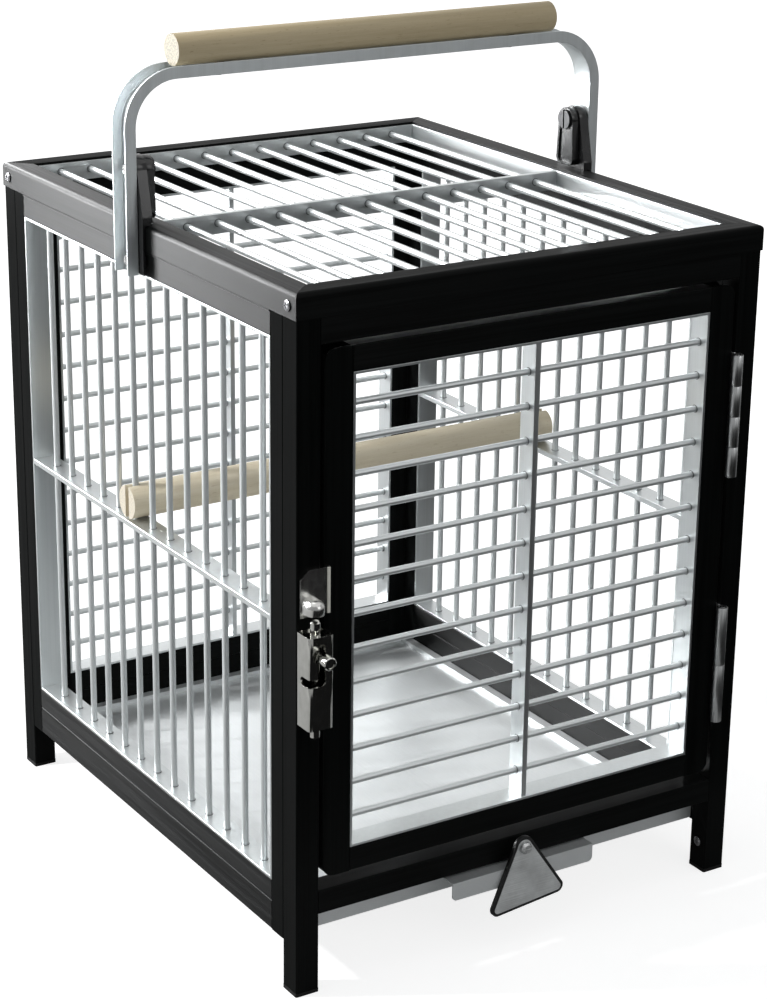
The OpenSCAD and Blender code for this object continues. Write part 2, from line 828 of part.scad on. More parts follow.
// Housing of the bolt: a square sheet tube with two guides, a slot and a side notch
module latch_housing() {
    z1 = housing_z + housing_h;
    inside_w = housing_w - 2 * housing_wall;
    inside_d = housing_d - 2 * housing_wall;
    color("#c4c6c8")
    difference() {
        translate([bolt_x, front_y - housing_d / 2, housing_z]) {
            difference() {
                linear_extrude(housing_h) rounded_rect(housing_w, housing_d, housing_corner);
                translate([0, 0, -1]) linear_extrude(housing_h + 2)
                    rounded_rect(inside_w, inside_d, housing_corner - housing_wall);
            }
            translate([0, 0, housing_wall]) linear_extrude(low_guide_h)
                rounded_rect(inside_w + 1, inside_d + 1, housing_corner - housing_wall);
            translate([0, 0, housing_h - housing_wall - top_guide_h]) linear_extrude(top_guide_h)
                rounded_rect(inside_w + 1, inside_d + 1, housing_corner - housing_wall);
        }
        rod_up(bolt_x, bolt_y, housing_z - 1, z1 + 1, bolt_r + run_fit);
        stem_slot();
    }
}
module stem_slot() {
    half = stem_r + slot_fit;
    low_z = bolt_rest_z - bolt_down;
    high_z = bolt_rest_z + bolt_up;
    out_y = front_y - housing_d - 1;
    in_y = bolt_y - stem_r;
    block([bolt_x - half, out_y, low_z], [bolt_x + half, in_y, high_z]);
    rod_along(bolt_x, out_y, in_y, high_z, half);
    rod_along(bolt_x, out_y, in_y, low_z, half);
    block([bolt_x - housing_w, out_y, low_z - half], [bolt_x, bolt_y, low_z + half]);
    rod_across(bolt_x - housing_w, bolt_x - housing_w / 2 + housing_wall, bolt_y, low_z, half);
}

// Bolt with round ends, and the knob screwed into it
module latch_bolt() {
    z0 = housing_z - bolt_tail;
    z1 = keeper_z - move_gap;
    nose = 1.2;
    color("#c4c6c8")
    difference() {
        union() {
            rod_up(bolt_x, bolt_y, z0 + nose, z1 - nose, bolt_r);
            translate([bolt_x, bolt_y, z0]) cylinder(r1 = bolt_r - nose, r2 = bolt_r, h = nose, $fn = fine);
            translate([bolt_x, bolt_y, z1 - nose])
                cylinder(r1 = bolt_r, r2 = bolt_r - nose, h = nose, $fn = fine);
        }
        rod_along(bolt_x, bolt_y - bolt_r - 1, bolt_y, bolt_rest_z, stem_r / 2 + run_fit);
    }
}
module latch_knob() {
    end_y = front_y - knob_reach;
    head = 8.5;
    dish = 0.8;
    color("#c4c6c8")
    difference() {
        union() {
            rod_along(bolt_x, bolt_y - bolt_r - move_gap, bolt_y, bolt_rest_z, stem_r / 2);
            rod_along(bolt_x, end_y + head, bolt_y - bolt_r - move_gap, bolt_rest_z, stem_r);
            rod_along(bolt_x, end_y + dish, end_y + head - dish, bolt_rest_z, knob_r);
            translate([bolt_x, end_y + dish, bolt_rest_z]) rotate([90, 0, 0])
                cylinder(r1 = knob_r, r2 = knob_r - dish, h = dish, $fn = fine);
            translate([bolt_x, end_y + head, bolt_rest_z]) rotate([90, 0, 0])
                cylinder(r1 = stem_r, r2 = knob_r, h = dish, $fn = fine);
        }
        rod_along(bolt_x, end_y - 1, end_y + dish, bolt_rest_z, knob_r - 2 * dish);
    }
}

// Tray: floor, low walls with an outward hem, front wall, pull tab and tongue
module tray() {
    floor_x = tray_half - tray_hem;
    wall_z = tray_z + tray_wall_h;
    back_wall_y = tray_y1 - tray_hem;
    color("#d4d8da")
    difference() {
        union() {
            block([-floor_x, tray_y0, tray_z], [floor_x, back_wall_y, tray_z + tray_t]);
            for (sx = [-1, 1]) {
                block([sx > 0 ? floor_x - tray_t : -floor_x, tray_y0, tray_z],
                    [sx > 0 ? floor_x : tray_t - floor_x, back_wall_y, wall_z]);
                block([sx > 0 ? floor_x - tray_t : -tray_half, tray_y0, wall_z - tray_t],
                    [sx > 0 ? tray_half : tray_t - floor_x, tray_y1, wall_z]);
            }
            block([-floor_x, back_wall_y - tray_t, tray_z], [floor_x, back_wall_y, wall_z]);
            block([-floor_x, back_wall_y - tray_t, wall_z - tray_t], [floor_x, tray_y1, wall_z]);
            block([-tray_half, tray_y0, tray_z], [tray_half, tray_y0 + tray_t, tab_top_z]);
            block([tab_x - tab_w / 2, tab_y - tray_t, tab_top_z - tray_t],
                [tab_x + tab_w / 2, tray_y0 + tray_t, tab_top_z]);
            tab_plate();
            block([tag_x - tongue_w / 2, tab_y - tray_t, tab_top_z - tray_t],
                [tag_x + tongue_w / 2, tab_y, tag_z + tongue_w / 2]);
        }
        rod_along(tag_x, tab_y - tray_t - 1, tab_y + 1, tag_z, tag_screw_r + run_fit);
    }
}
module tab_plate() {
    translate([tab_x, tab_y, tab_top_z]) rotate([90, 0, 0]) linear_extrude(tray_t) {
        translate([-tab_w / 2, -tab_h + tab_corner]) square([tab_w, tab_h - tab_corner]);
        translate([tab_corner - tab_w / 2, -tab_h]) square([tab_w - 2 * tab_corner, tab_h]);
        for (sx = [-1, 1])
            translate([sx * (tab_w / 2 - tab_corner), tab_corner - tab_h])
                circle(r = tab_corner, $fn = edge_fn);
    }
}

// Tag: a dark backing with a bare silver face, hung on a round-headed screw
function tag_corners(inset) = [
    [0, 0, tag_top_r - inset],
    [-(tag_w / 2 - tag_corner), tag_corner - tag_drop, tag_corner - inset],
    [tag_w / 2 - tag_corner, tag_corner - tag_drop, tag_corner - inset]
];
module tag_plate(y, thickness, inset) {
    difference() {
        translate([tag_x, y, tag_z]) rotate([90, 0, 0]) rotate([0, 0, tag_tilt])
            linear_extrude(thickness) round_polygon(tag_corners(inset));
        rod_along(tag_x, y - thickness - 1, y + 1, tag_z, tag_screw_r + run_fit);
    }
}
module tag_backing() { color("#1a1a1b") tag_plate(tag_back_y, tag_t, 0); }
module tag_face() { color("#aeb3b3") tag_plate(tag_front_y, tag_face_t, tag_border); }
module tag_screw() {
    seat_y = tag_front_y - tag_face_t - move_gap;
    color("#b4b7b9")
    difference() {
        union() {
            rod_along(tag_x, seat_y, tab_y + tag_nut_t, tag_z, tag_screw_r);
            rod_along(tag_x, seat_y - tag_head_t / 2, seat_y, tag_z, tag_head_r);
            translate([tag_x, seat_y - tag_head_t / 2, tag_z]) rotate([90, 0, 0])
                cylinder(r1 = tag_head_r, r2 = tag_head_r - tag_head_bevel, h = tag_head_t / 2, $fn = fine);
            translate([tag_x, tab_y + tag_nut_t, tag_z]) rotate([90, 0, 0])
                cylinder(r = tag_nut_r, h = tag_nut_t, $fn = 6);
        }
        block([tag_x - tag_head_r, seat_y - tag_head_t - 1, tag_z - tag_slot_w / 2],
            [tag_x + tag_head_r, seat_y - tag_head_t + tag_slot_w, tag_z + tag_slot_w / 2]);
    }
}

// Handle: one channel bent into an arch, its open side outwards
module channel_section() {
    translate([0, -channel_w / 2]) square([channel_t, channel_w]);
    for (y = [-channel_w / 2, channel_w / 2 - channel_t])
        translate([0, y]) square([channel_d, channel_t]);
}
module handle_half() {
    bend_z = bar_z - handle_bend;
    translate([leg_x, mid_y, leg_z0]) linear_extrude(bend_z - leg_z0) channel_section();
    translate([leg_x - handle_bend, mid_y, bend_z]) rotate([90, 0, 0])
        rotate_extrude(angle = 90, $fn = round_fn) translate([handle_bend, 0]) channel_section();
}
module handle_channel() {
    half = leg_x - handle_bend;
    color("#b4b9bc")
    difference() {
        union() {
            for (side = [0, 1]) mirror([side, 0, 0]) handle_half();
            translate([half, mid_y, bar_z]) rotate([0, -90, 0]) linear_extrude(2 * half) channel_section();
        }
        for (z = [pivot_z, lock_z])
            for (sx = [-1, 1])
                rod_across(sx * leg_x - 2 * channel_t, sx * leg_x + 2 * channel_t, mid_y, z, pivot_r + run_fit);
        for (x = [-grip_screw_x, grip_screw_x])
            rod_up(x, mid_y, bar_z - 1, bar_z + channel_t + 1, grip_screw_r + run_fit);
    }
}
module handle_grip() {
    color("#cdb48a")
    difference() {
        rod_across(-grip_len / 2, grip_len / 2, mid_y, grip_z, grip_r, round_fn);
        for (x = [-grip_screw_x, grip_screw_x])
            rod_up(x, mid_y, grip_z - grip_r - 1, grip_z, grip_screw_r + run_fit);
    }
}
module grip_screws() {
    seat_z = bar_z + channel_t;
    color("#a5a9ac")
    for (x = [-grip_screw_x, grip_screw_x])
        translate([x, mid_y, 0]) {
            translate([0, 0, bar_z - grip_head_t])
                cylinder(r1 = grip_head_edge, r2 = grip_head_r, h = grip_head_t, $fn = fine);
            rod_up(0, 0, bar_z, grip_z - 1, grip_screw_r);
            rod_up(0, 0, seat_z, grip_z - grip_r, grip_spacer_r);
        }
}
module handle_pivot_screws() {
    seat_x = leg_x + channel_t + move_gap;
    color("#a5a9ac")
    for (side = [0, 1])
        mirror([side, 0, 0]) translate([seat_x, mid_y, pivot_z])
            side_screw(seat_x - side_x + screw_grip, screw_head_r, screw_head_t);
}
module handle_lock_screws() {
    color("#a5a9ac")
    for (side = [0, 1])
        mirror([side, 0, 0]) translate([leg_x + channel_t, mid_y, lock_z])
            side_screw(channel_t, screw_head_r, screw_head_t);
}

// Lock bracket: a plate outside the rail that thickens into a block on the roof
module bracket_outline(low_z) {
    foot = lock_plate_w / 2 - lock_corner;
    shoulder_z = cage_h + lock_shoulder;
    translate([-lock_plate_w / 2, low_z]) square([lock_plate_w, shoulder_z - low_z]);
    round_polygon([[0, lock_z, lock_top_r], [-foot, shoulder_z, lock_corner],
        [foot, shoulder_z, lock_corner]]);
}
module side_plate(x0, thickness) {
    translate([x0, mid_y, 0]) rotate([90, 0, 90]) linear_extrude(thickness) children();
}
module lock_brackets() {
    color("#141414")
    for (side = [0, 1])
        mirror([side, 0, 0]) difference() {
            union() {
                side_plate(plate_x - lock_plate_t, lock_plate_t) bracket_outline(leg_z0 + 1);
                side_plate(block_x, lock_block_t) bracket_outline(cage_h);
            }
            rod_across(side_x, leg_x, mid_y, pivot_z, pivot_r + run_fit);
            rod_across(block_x - 1, plate_x + 1, mid_y, lock_z, pivot_r + run_fit);
        }
}

// Lock lever: a drop shape with a raised rim, on the inner side of its bracket
function lever_corners(inset) = let(
    half = lever_end_w / 2 - lever_end_r,
    end_z = cage_h + lever_foot + lever_end_r
) [
    [0, lock_z, lever_top_r - inset], [-half, end_z, lever_end_r - inset], [half, end_z, lever_end_r - inset]
];
module lever() {
    difference() {
        side_plate(lever_x - lever_t, lever_t) round_polygon(lever_corners(0));
        difference() {
            side_plate(lever_x - lever_t - 1, lever_recess + 1) round_polygon(lever_corners(lever_rim));
            rod_across(lever_x - lever_t - 1, lever_x, mid_y, lock_z, disc_r + 1);
        }
        rod_across(lever_x - lever_t - 1, lever_x + 1, mid_y, lock_z, pivot_r + run_fit);
    }
}
module lock_disc() {
    face_x = lever_x - lever_t - disc_t;
    slot_w = 1.8;
    slot_d = 1;
    difference() {
        union() {
            rod_across(face_x, face_x + disc_t, mid_y, lock_z, disc_r, round_fn);
            rod_across(face_x + disc_t, plate_x - lock_plate_t, mid_y, lock_z, pivot_r);
        }
        block([face_x - 1, mid_y - slot_w / 2, lock_z - disc_r - 1],
            [face_x + slot_d, mid_y + slot_w / 2, lock_z + disc_r + 1]);
    }
}
module left_lock_lever() { color("#19191a") mirror([1, 0, 0]) lever(); }
module right_lock_lever() { color("#19191a") lever(); }
module left_lock_disc() { color("#4d5052") mirror([1, 0, 0]) lock_disc(); }
module right_lock_disc() { color("#4d5052") lock_disc(); }

// Perch: a dowel whose notched ends straddle a bar on each side
module perch() {
    half_notch = bar_r + notch_fit;
    color("#d8c29a")
    difference() {
        rod_across(-perch_half, perch_half, perch_y, perch_z, perch_r, round_fn);
        for (sx = [-1, 1])
            block([sx > 0 ? post_x - half_notch : -perch_half - 1, perch_y - half_notch, perch_z - perch_r - 1],
                [sx > 0 ? perch_half + 1 : half_notch - post_x, perch_y + half_notch, perch_z + perch_r + 1]);
    }
}

post_front_left();
post_front_right();
post_back_left();
post_back_right();
foot_plugs();
roof_side_rails();
roof_end_rails();
roof_liner();
roof_crossbar();
roof_bars();
left_stiles();
left_rails();
left_base_rail();
left_liner();
left_mid_rail();
left_bars();
right_stiles();
right_rails();
right_base_rail();
right_liner();
right_mid_rail();
right_bars();
back_stiles();
back_rails();
back_base_rail();
back_liner();
back_strip();
back_bars();
front_top_rail();
front_bottom_rail();
frame_screws();
door_stiles();
door_rails();
door_liner();
door_strip();
door_bars();
hinge_door_leaves();
hinge_post_leaves();
hinge_pins();
latch_keeper();
latch_housing();
latch_bolt();
latch_knob();
tray();
tag_screw();
tag_backing();
tag_face();
handle_channel();
handle_grip();
grip_screws();
handle_pivot_screws();
handle_lock_screws();
lock_brackets();
left_lock_lever();
left_lock_disc();
right_lock_lever();
right_lock_disc();
perch();
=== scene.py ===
"""Looks of the bird travel carrier: its finishes, its small trim, the studio and the camera.

Metres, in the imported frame: +Z is up, the door faces -Y, and the floor is at z = 0.
"""

import logging
import math
from dataclasses import dataclass
from enum import Enum
from typing import Iterable, Sequence

import bpy
from mathutils import Matrix, Vector


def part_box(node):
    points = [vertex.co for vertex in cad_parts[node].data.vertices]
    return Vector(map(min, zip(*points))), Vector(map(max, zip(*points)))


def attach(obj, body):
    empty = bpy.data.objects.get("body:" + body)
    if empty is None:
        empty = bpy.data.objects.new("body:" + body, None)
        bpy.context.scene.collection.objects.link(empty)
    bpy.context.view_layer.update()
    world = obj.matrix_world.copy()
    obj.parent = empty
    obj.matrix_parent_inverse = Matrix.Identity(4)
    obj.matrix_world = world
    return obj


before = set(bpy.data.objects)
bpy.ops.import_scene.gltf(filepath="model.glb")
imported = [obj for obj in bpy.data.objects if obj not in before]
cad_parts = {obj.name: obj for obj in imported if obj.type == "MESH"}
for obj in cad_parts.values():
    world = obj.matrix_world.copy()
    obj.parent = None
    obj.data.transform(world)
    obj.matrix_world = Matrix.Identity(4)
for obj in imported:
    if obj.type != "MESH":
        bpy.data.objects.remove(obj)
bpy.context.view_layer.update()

LOG = logging.getLogger("carrier")
MM = 0.001
QUARTER_TURN = 0.25
WELD_REACH = 0.002 * MM
SHARP_EDGE = math.radians(40)
SMOOTH_EDGE = math.radians(35)
UPWARD = (0.0, 0.0, 1.0)

Colour = tuple[float, float, float]
Point = tuple[float, float, float]
Flat = tuple[float, float]
Mesh = tuple[list[Point], list[list[int]]]
Socket = bpy.types.NodeSocket


class Brush(Enum):
    """The direction in which a metal was brushed or drawn, as a unit vector."""

    ACROSS = (1.0, 0.0, 0.0)
    DEEP = (0.0, 1.0, 0.0)
    UP = (0.0, 0.0, 1.0)


class MixSocket:
    """Numbers of a mix node's sockets when it mixes colours."""

    SHARE = 0
    FIRST = 6
    SECOND = 7
    RESULT = 2


class Tree:
    """The node tree of one material or world, with short ways to add and join nodes."""

    def __init__(self, owner: bpy.types.Material | bpy.types.World) -> None:
        """Starts an empty tree.

        Args:
            owner: The material or world that it belongs to.
        """
        owner.use_nodes = True
        self.owner = owner
        self.nodes = owner.node_tree.nodes
        self.links = owner.node_tree.links
        self.nodes.clear()

    def add(self, kind: str, inputs: dict | None = None, **settings) -> bpy.types.Node:
        """Adds a node.

        Args:
            kind: The node's type name.
            inputs: Values of its sockets, by name or number; a socket is joined instead.
            settings: Values of its own properties.

        Returns:
            The new node.
        """
        node = self.nodes.new(kind)
        for key, value in settings.items():
            setattr(node, key, value)
        for key, value in (inputs or {}).items():
            if isinstance(value, bpy.types.NodeSocket):
                self.links.new(value, node.inputs[key])
            else:
                node.inputs[key].default_value = value
        return node

    def maths(self, operation: str, *values: float | Socket) -> Socket:
        """Works out a value from others.

        Args:
            operation: The maths node's operation.
            values: Its numbers and sockets, in order.

        Returns:
            The result's socket.
        """
        return self.add("ShaderNodeMath", dict(enumerate(values)), operation=operation).outputs[0]

    def noise(self, scale: Point, detail: float = 2.0) -> Socket:
        """Noise over the piece's own coordinates.

        Args:
            scale: Cells for each metre along X, Y and Z.
            detail: Octaves of finer noise.

        Returns:
            The socket with the noise, about 0.5.
        """
        place = self.add("ShaderNodeTexCoord").outputs["Object"]
        mapping = self.add("ShaderNodeMapping", {"Vector": place, "Scale": scale})
        inputs = {"Vector": mapping.outputs["Vector"], "Scale": 1.0, "Detail": detail}
        return self.add("ShaderNodeTexNoise", inputs).outputs["Fac"]

    def spread(self, value: Socket, low: float, high: float, start: float = 0.3,
               end: float = 0.7) -> Socket:
        """Maps a value from one span to another.

        Args:
            value: The socket to map.
            low: What the start becomes.
            high: What the end becomes.
            start: The first end of the value's own span.
            end: The other end of it.

        Returns:
            The mapped value's socket.
        """
        inputs = {"Value": value, "From Min": start, "From Max": end, "To Min": low, "To Max": high}
        return self.add("ShaderNodeMapRange", inputs).outputs["Result"]

    def tones(self, value: Socket, stops: Sequence[tuple[float, Colour]]) -> Socket:
        """Colours a value.

        Args:
            value: The socket to colour.
            stops: Places from 0 to 1 with their linear colours, in order.

        Returns:
            The colour socket.
        """
        ramp = self.add("ShaderNodeValToRGB", {"Fac": value})
        elements = ramp.color_ramp.elements
        while len(elements) < len(stops):
            elements.new(0.5)
        for element, (place, colour) in zip(elements, stops):
            element.position = place
            element.color = (*colour, 1.0)
        return ramp.outputs["Color"]

    def mixed(self, share: Socket, first: Socket, second: Socket) -> Socket:
        """Mixes two colours.

        Args:
            share: How much of the second colour there is.
            first: The first colour.
            second: The second colour.

        Returns:
            The colour socket.
        """
        inputs = {MixSocket.SHARE: share, MixSocket.FIRST: first, MixSocket.SECOND: second}
        return self.add("ShaderNodeMix", inputs, data_type="RGBA").outputs[MixSocket.RESULT]

    def relief(self, height: Socket, depth: float, strength: float = 0.5) -> Socket:
        """A bump.

        Args:
            height: The socket with its height.
            depth: Its depth in metres.
            strength: How much of it shows.

        Returns:
            The normal's socket.
        """
        inputs = {"Height": height, "Distance": depth, "Strength": strength}
        return self.add("ShaderNodeBump", inputs).outputs["Normal"]

    def along(self, brush: Brush) -> Socket:
        """The brushing's direction, which turns with the piece.

        Args:
            brush: The direction in the piece's own coordinates.

        Returns:
            The socket with the direction.
        """
        node = self.add("ShaderNodeVectorTransform", {"Vector": brush.value},
                        vector_type="VECTOR", convert_from="OBJECT", convert_to="WORLD")
        return node.outputs["Vector"]

    def finish(self, inputs: dict) -> bpy.types.Material:
        """Ends a material's tree in a principled surface.

        Args:
            inputs: Its socket values and joined sockets.

        Returns:
            The material.
        """
        shader = self.add("ShaderNodeBsdfPrincipled", inputs)
        self.add("ShaderNodeOutputMaterial", {"Surface": shader.outputs["BSDF"]})
        return self.owner


def material_tree(name: str) -> Tree:
    """The empty tree of a new material.

    Args:
        name: The material's name.

    Returns:
        The tree.
    """
    return Tree(bpy.data.materials.new(name))


def even(scale: float) -> Point:
    """One noise scale for all directions.

    Args:
        scale: Cells for each metre.

    Returns:
        The scale along X, Y and Z.
    """
    return (scale, scale, scale)


def grey(level: float) -> Colour:
    """A neutral grey.

    Args:
        level: Its linear level.

    Returns:
        The colour.
    """
    return (level, level, level)


def stretched(brush: Brush, across: float, lengthwise: float) -> Point:
    """Noise scale of streaks.

    Args:
        brush: The direction of the streaks.
        across: Cells for each metre across them.
        lengthwise: Cells for each metre along them.

    Returns:
        The scale along X, Y and Z.
    """
    return tuple(lengthwise if part else across for part in brush.value)


# The span in which the sum of two noises mostly lies
SUM_SPAN: Flat = (0.75, 1.25)


@dataclass(frozen=True)
class BrushedMetal:
    """Brushed or drawn metal: fine lengthwise streaks and a highlight drawn out across them."""

    name: str
    dark: Colour
    light: Colour
    brush: Brush
    metallic: float = 1.0
    roughness: float = 0.32
    roughness_spread: float = 0.06
    ior: float = 1.5
    anisotropy: float = 0.6
    streaks: float = 1500.0
    depth: float = 0.01 * MM
    coarser: float = 5.0
    fine_lengthwise: float = 12.0
    coarse_lengthwise: float = 4.0
    cloud: float = 14.0
    worn_share: Flat = (0.15, 0.4)

    def build(self) -> bpy.types.Material:
        """Makes the material.

        Returns:
            The material.
        """
        tree = material_tree(self.name)
        fine = tree.noise(stretched(self.brush, self.streaks, self.fine_lengthwise))
        coarse = tree.noise(stretched(self.brush, self.streaks / self.coarser, self.coarse_lengthwise))
        cloud = tree.noise(even(self.cloud), 3.0)
        both = tree.maths("ADD", fine, coarse)
        shades = ((0.0, self.dark), (1.0, self.light))
        streaked = tree.tones(tree.spread(both, 0.0, 1.0, *SUM_SPAN), shades)
        worn = tree.tones(tree.spread(cloud, 0.0, 1.0), shades)
        low, high = self.roughness - self.roughness_spread, self.roughness + self.roughness_spread
        return tree.finish({
            "Base Color": tree.mixed(tree.spread(fine, *self.worn_share), streaked, worn),
            "Metallic": self.metallic,
            "Roughness": tree.spread(both, low, high, *SUM_SPAN),
            "IOR": self.ior,
            "Anisotropic": self.anisotropy,
            "Anisotropic Rotation": QUARTER_TURN,
            "Tangent": tree.along(self.brush),
            "Normal": tree.relief(both, self.depth),
        })


@dataclass(frozen=True)
class PolishedMetal:
    """Plated or polished metal with a faint smudged film and shallow waves."""

    name: str
    colour: Colour
    roughness: float = 0.06
    smudge: float = 0.08
    wave: float = 0.04 * MM
    film_scale: Point = (240.0, 240.0, 160.0)
    wave_scale: float = 70.0
    film_shade: float = 0.86

    def build(self) -> bpy.types.Material:
        """Makes the material.

        Returns:
            The material.
        """
        tree = material_tree(self.name)
        film = tree.noise(self.film_scale, 4.0)
        wave = tree.noise(even(self.wave_scale), 1.0)
        shade = tuple(self.film_shade * part for part in self.colour)
        return tree.finish({
            "Base Color": tree.tones(tree.spread(film, 0.0, 1.0), ((0.0, shade), (1.0, self.colour))),
            "Metallic": 1.0,
            "Roughness": tree.spread(film, self.roughness, self.roughness + self.smudge),
            "Normal": tree.relief(wave, self.wave),
        })


@dataclass(frozen=True)
class MouldedPlastic:
    """Moulded plastic with a fine spark-eroded skin."""

    name: str
    dark: Colour
    light: Colour
    roughness: float = 0.42
    specular: float = 0.35
    skin: float = 0.03 * MM
    skin_scale: float = 1900.0
    flow_scale: Point = (60.0, 60.0, 30.0)
    roughness_spread: float = 0.08

    def build(self) -> bpy.types.Material:
        """Makes the material.

        Returns:
            The material.
        """
        tree = material_tree(self.name)
        skin = tree.noise(even(self.skin_scale), 3.0)
        flow = tree.noise(self.flow_scale, 3.0)
        low, high = self.roughness - self.roughness_spread, self.roughness + self.roughness_spread
        return tree.finish({
            "Base Color": tree.tones(tree.spread(flow, 0.0, 1.0), ((0.0, self.dark), (1.0, self.light))),
            "Roughness": tree.spread(flow, low, high),
            "Specular IOR Level": self.specular,
            "Normal": tree.relief(skin, self.skin),
        })


@dataclass(frozen=True)
class TurnedWood:
    """Pale sanded hardwood whose grain runs along X, with short dark flecks and open end grain."""

    name: str
    deep: Colour
    middle: Colour
    pale: Colour
    fleck: Colour
    end: Colour
    roughness: float = 0.58
    specular: float = 0.3
    grain_depth: float = 0.05 * MM
    band_scale: Point = (3.5, 95.0, 95.0)
    fibre_scale: Point = (45.0, 1500.0, 1500.0)
    fleck_scale: Point = (160.0, 900.0, 900.0)
    pore_scale: Point = (500.0, 700.0, 700.0)
    band_span: Flat = (0.32, 0.68)
    fibre_span: Flat = (0.35, 0.65)
    fibre_share: Flat = (0.15, 0.45)
    fleck_span: Flat = (0.64, 0.74)
    fleck_share: float = 0.55
    pore_span: Flat = (0.35, 0.6)
    end_span: Flat = (0.8, 0.95)
    roughness_span: Flat = (-0.07, 0.09)

    def side_wood(self, tree: Tree, fibre: Socket) -> Socket:
        """The colour of the long grain with its flecks.

        Args:
            tree: The material's tree.
            fibre: The noise of the fibres.

        Returns:
            The colour socket.
        """
        bands = tree.noise(self.band_scale, 4.0)
        flecks = tree.noise(self.fleck_scale)
        ground = tree.tones(tree.spread(bands, 0.0, 1.0, *self.band_span),
                            ((0.0, self.deep), (0.5, self.middle), (1.0, self.pale)))
        first, last = self.fibre_span
        hair = tree.tones(fibre, ((first, self.middle), (last, self.pale)))
        grained = tree.mixed(tree.spread(fibre, *self.fibre_share), ground, hair)
        mark = tree.tones(flecks, ((0.0, self.fleck), (1.0, self.fleck)))
        return tree.mixed(tree.spread(flecks, 0.0, self.fleck_share, *self.fleck_span), grained, mark)

    def end_wood(self, tree: Tree) -> Socket:
        """The colour of the cut ends with their pores.

        Args:
            tree: The material's tree.

        Returns:
            The colour socket.
        """
        first, last = self.pore_span
        return tree.tones(tree.noise(self.pore_scale, 3.0), ((first, self.pale), (last, self.end)))

    def build(self) -> bpy.types.Material:
        """Makes the material.

        Returns:
            The material.
        """
        tree = material_tree(self.name)
        fibre = tree.noise(self.fibre_scale, 3.0)
        facing = tree.add("ShaderNodeVectorTransform",
                          {"Vector": tree.add("ShaderNodeNewGeometry").outputs["True Normal"]},
                          vector_type="NORMAL", convert_from="WORLD", convert_to="OBJECT")
        parts = tree.add("ShaderNodeSeparateXYZ", {"Vector": facing.outputs["Vector"]})
        lengthwise = tree.maths("ABSOLUTE", parts.outputs["X"])
        cut = tree.spread(lengthwise, 0.0, 1.0, *self.end_span)
        smoother, rougher = self.roughness_span
        return tree.finish({
            "Base Color": tree.mixed(cut, self.side_wood(tree, fibre), self.end_wood(tree)),
            "Roughness": tree.spread(fibre, self.roughness + smoother, self.roughness + rougher),
            "Specular IOR Level": self.specular,
            "Normal": tree.relief(fibre, self.grain_depth),
        })


@dataclass(frozen=True)
class CloudySheet:
    """Rolled or brushed sheet metal with broad cloudy patches under its fine lines."""

    name: str
    dark: Colour
    light: Colour
    brush: Brush
    cloud: float
    roughness: float
    anisotropy: float = 0.3
    metallic: float = 0.6
    line_scale: Flat = (3200.0, 30.0)
    line_depth: float = 0.01 * MM
    roughness_span: Flat = (-0.04, 0.06)

    def build(self) -> bpy.types.Material:
        """Makes the material.

        Returns:
            The material.
        """
        tree = material_tree(self.name)
        cloud = tree.noise(even(self.cloud), 4.0)
        lines = tree.noise(stretched(self.brush, *self.line_scale))
        both = tree.maths("ADD", cloud, lines)
        smoother, rougher = self.roughness_span
        return tree.finish({
            "Base Color": tree.tones(tree.spread(both, 0.0, 1.0, *SUM_SPAN),
                                     ((0.0, self.dark), (1.0, self.light))),
            "Metallic": self.metallic,
            "Roughness": tree.spread(cloud, self.roughness + smoother, self.roughness + rougher),
            "Anisotropic": self.anisotropy,
            "Anisotropic Rotation": QUARTER_TURN,
            "Tangent": tree.along(self.brush),
            "Normal": tree.relief(lines, self.line_depth),
        })


Finish = BrushedMetal | PolishedMetal | MouldedPlastic | TurnedWood | CloudySheet

FRAME_DARK: Colour = (0.0018, 0.0021, 0.0020)
FRAME_LIGHT: Colour = (0.0048, 0.0054, 0.0053)
STRIP_DARK: Colour = (0.56, 0.585, 0.59)
STRIP_LIGHT: Colour = (0.62, 0.645, 0.65)
BAR_DARK: Colour = (0.60, 0.625, 0.63)
BAR_LIGHT: Colour = (0.66, 0.685, 0.69)

# Painted shade: the dark rings around the bars at each strip stand in for the shade in the clearance
# gaps.
RIM_SHADOW = BrushedMetal("hole_shadow_ring", (0.10, 0.105, 0.107), (0.22, 0.23, 0.235), Brush.UP,
                          roughness=0.4, anisotropy=0.0)
PLUG_RUBBER = MouldedPlastic("plug_rubber", grey(0.004), grey(0.009), 0.6, 0.2)
SCREW_ZINC = PolishedMetal("screw_zinc", (0.30, 0.30, 0.31), 0.2, 0.1)
HINGE_SATIN = BrushedMetal("hinge_satin", (0.50, 0.51, 0.51), (0.62, 0.63, 0.63), Brush.UP,
                           roughness=0.3, anisotropy=0.3)
HINGE_PIN_STEEL = PolishedMetal("hinge_pin_steel", grey(0.6), 0.2)
BRIGHT_NICKEL = PolishedMetal("bright_nickel", (0.55, 0.55, 0.52))
KEEPER_NICKEL = PolishedMetal("keeper_nickel", (0.62, 0.62, 0.60), 0.2, 0.06)
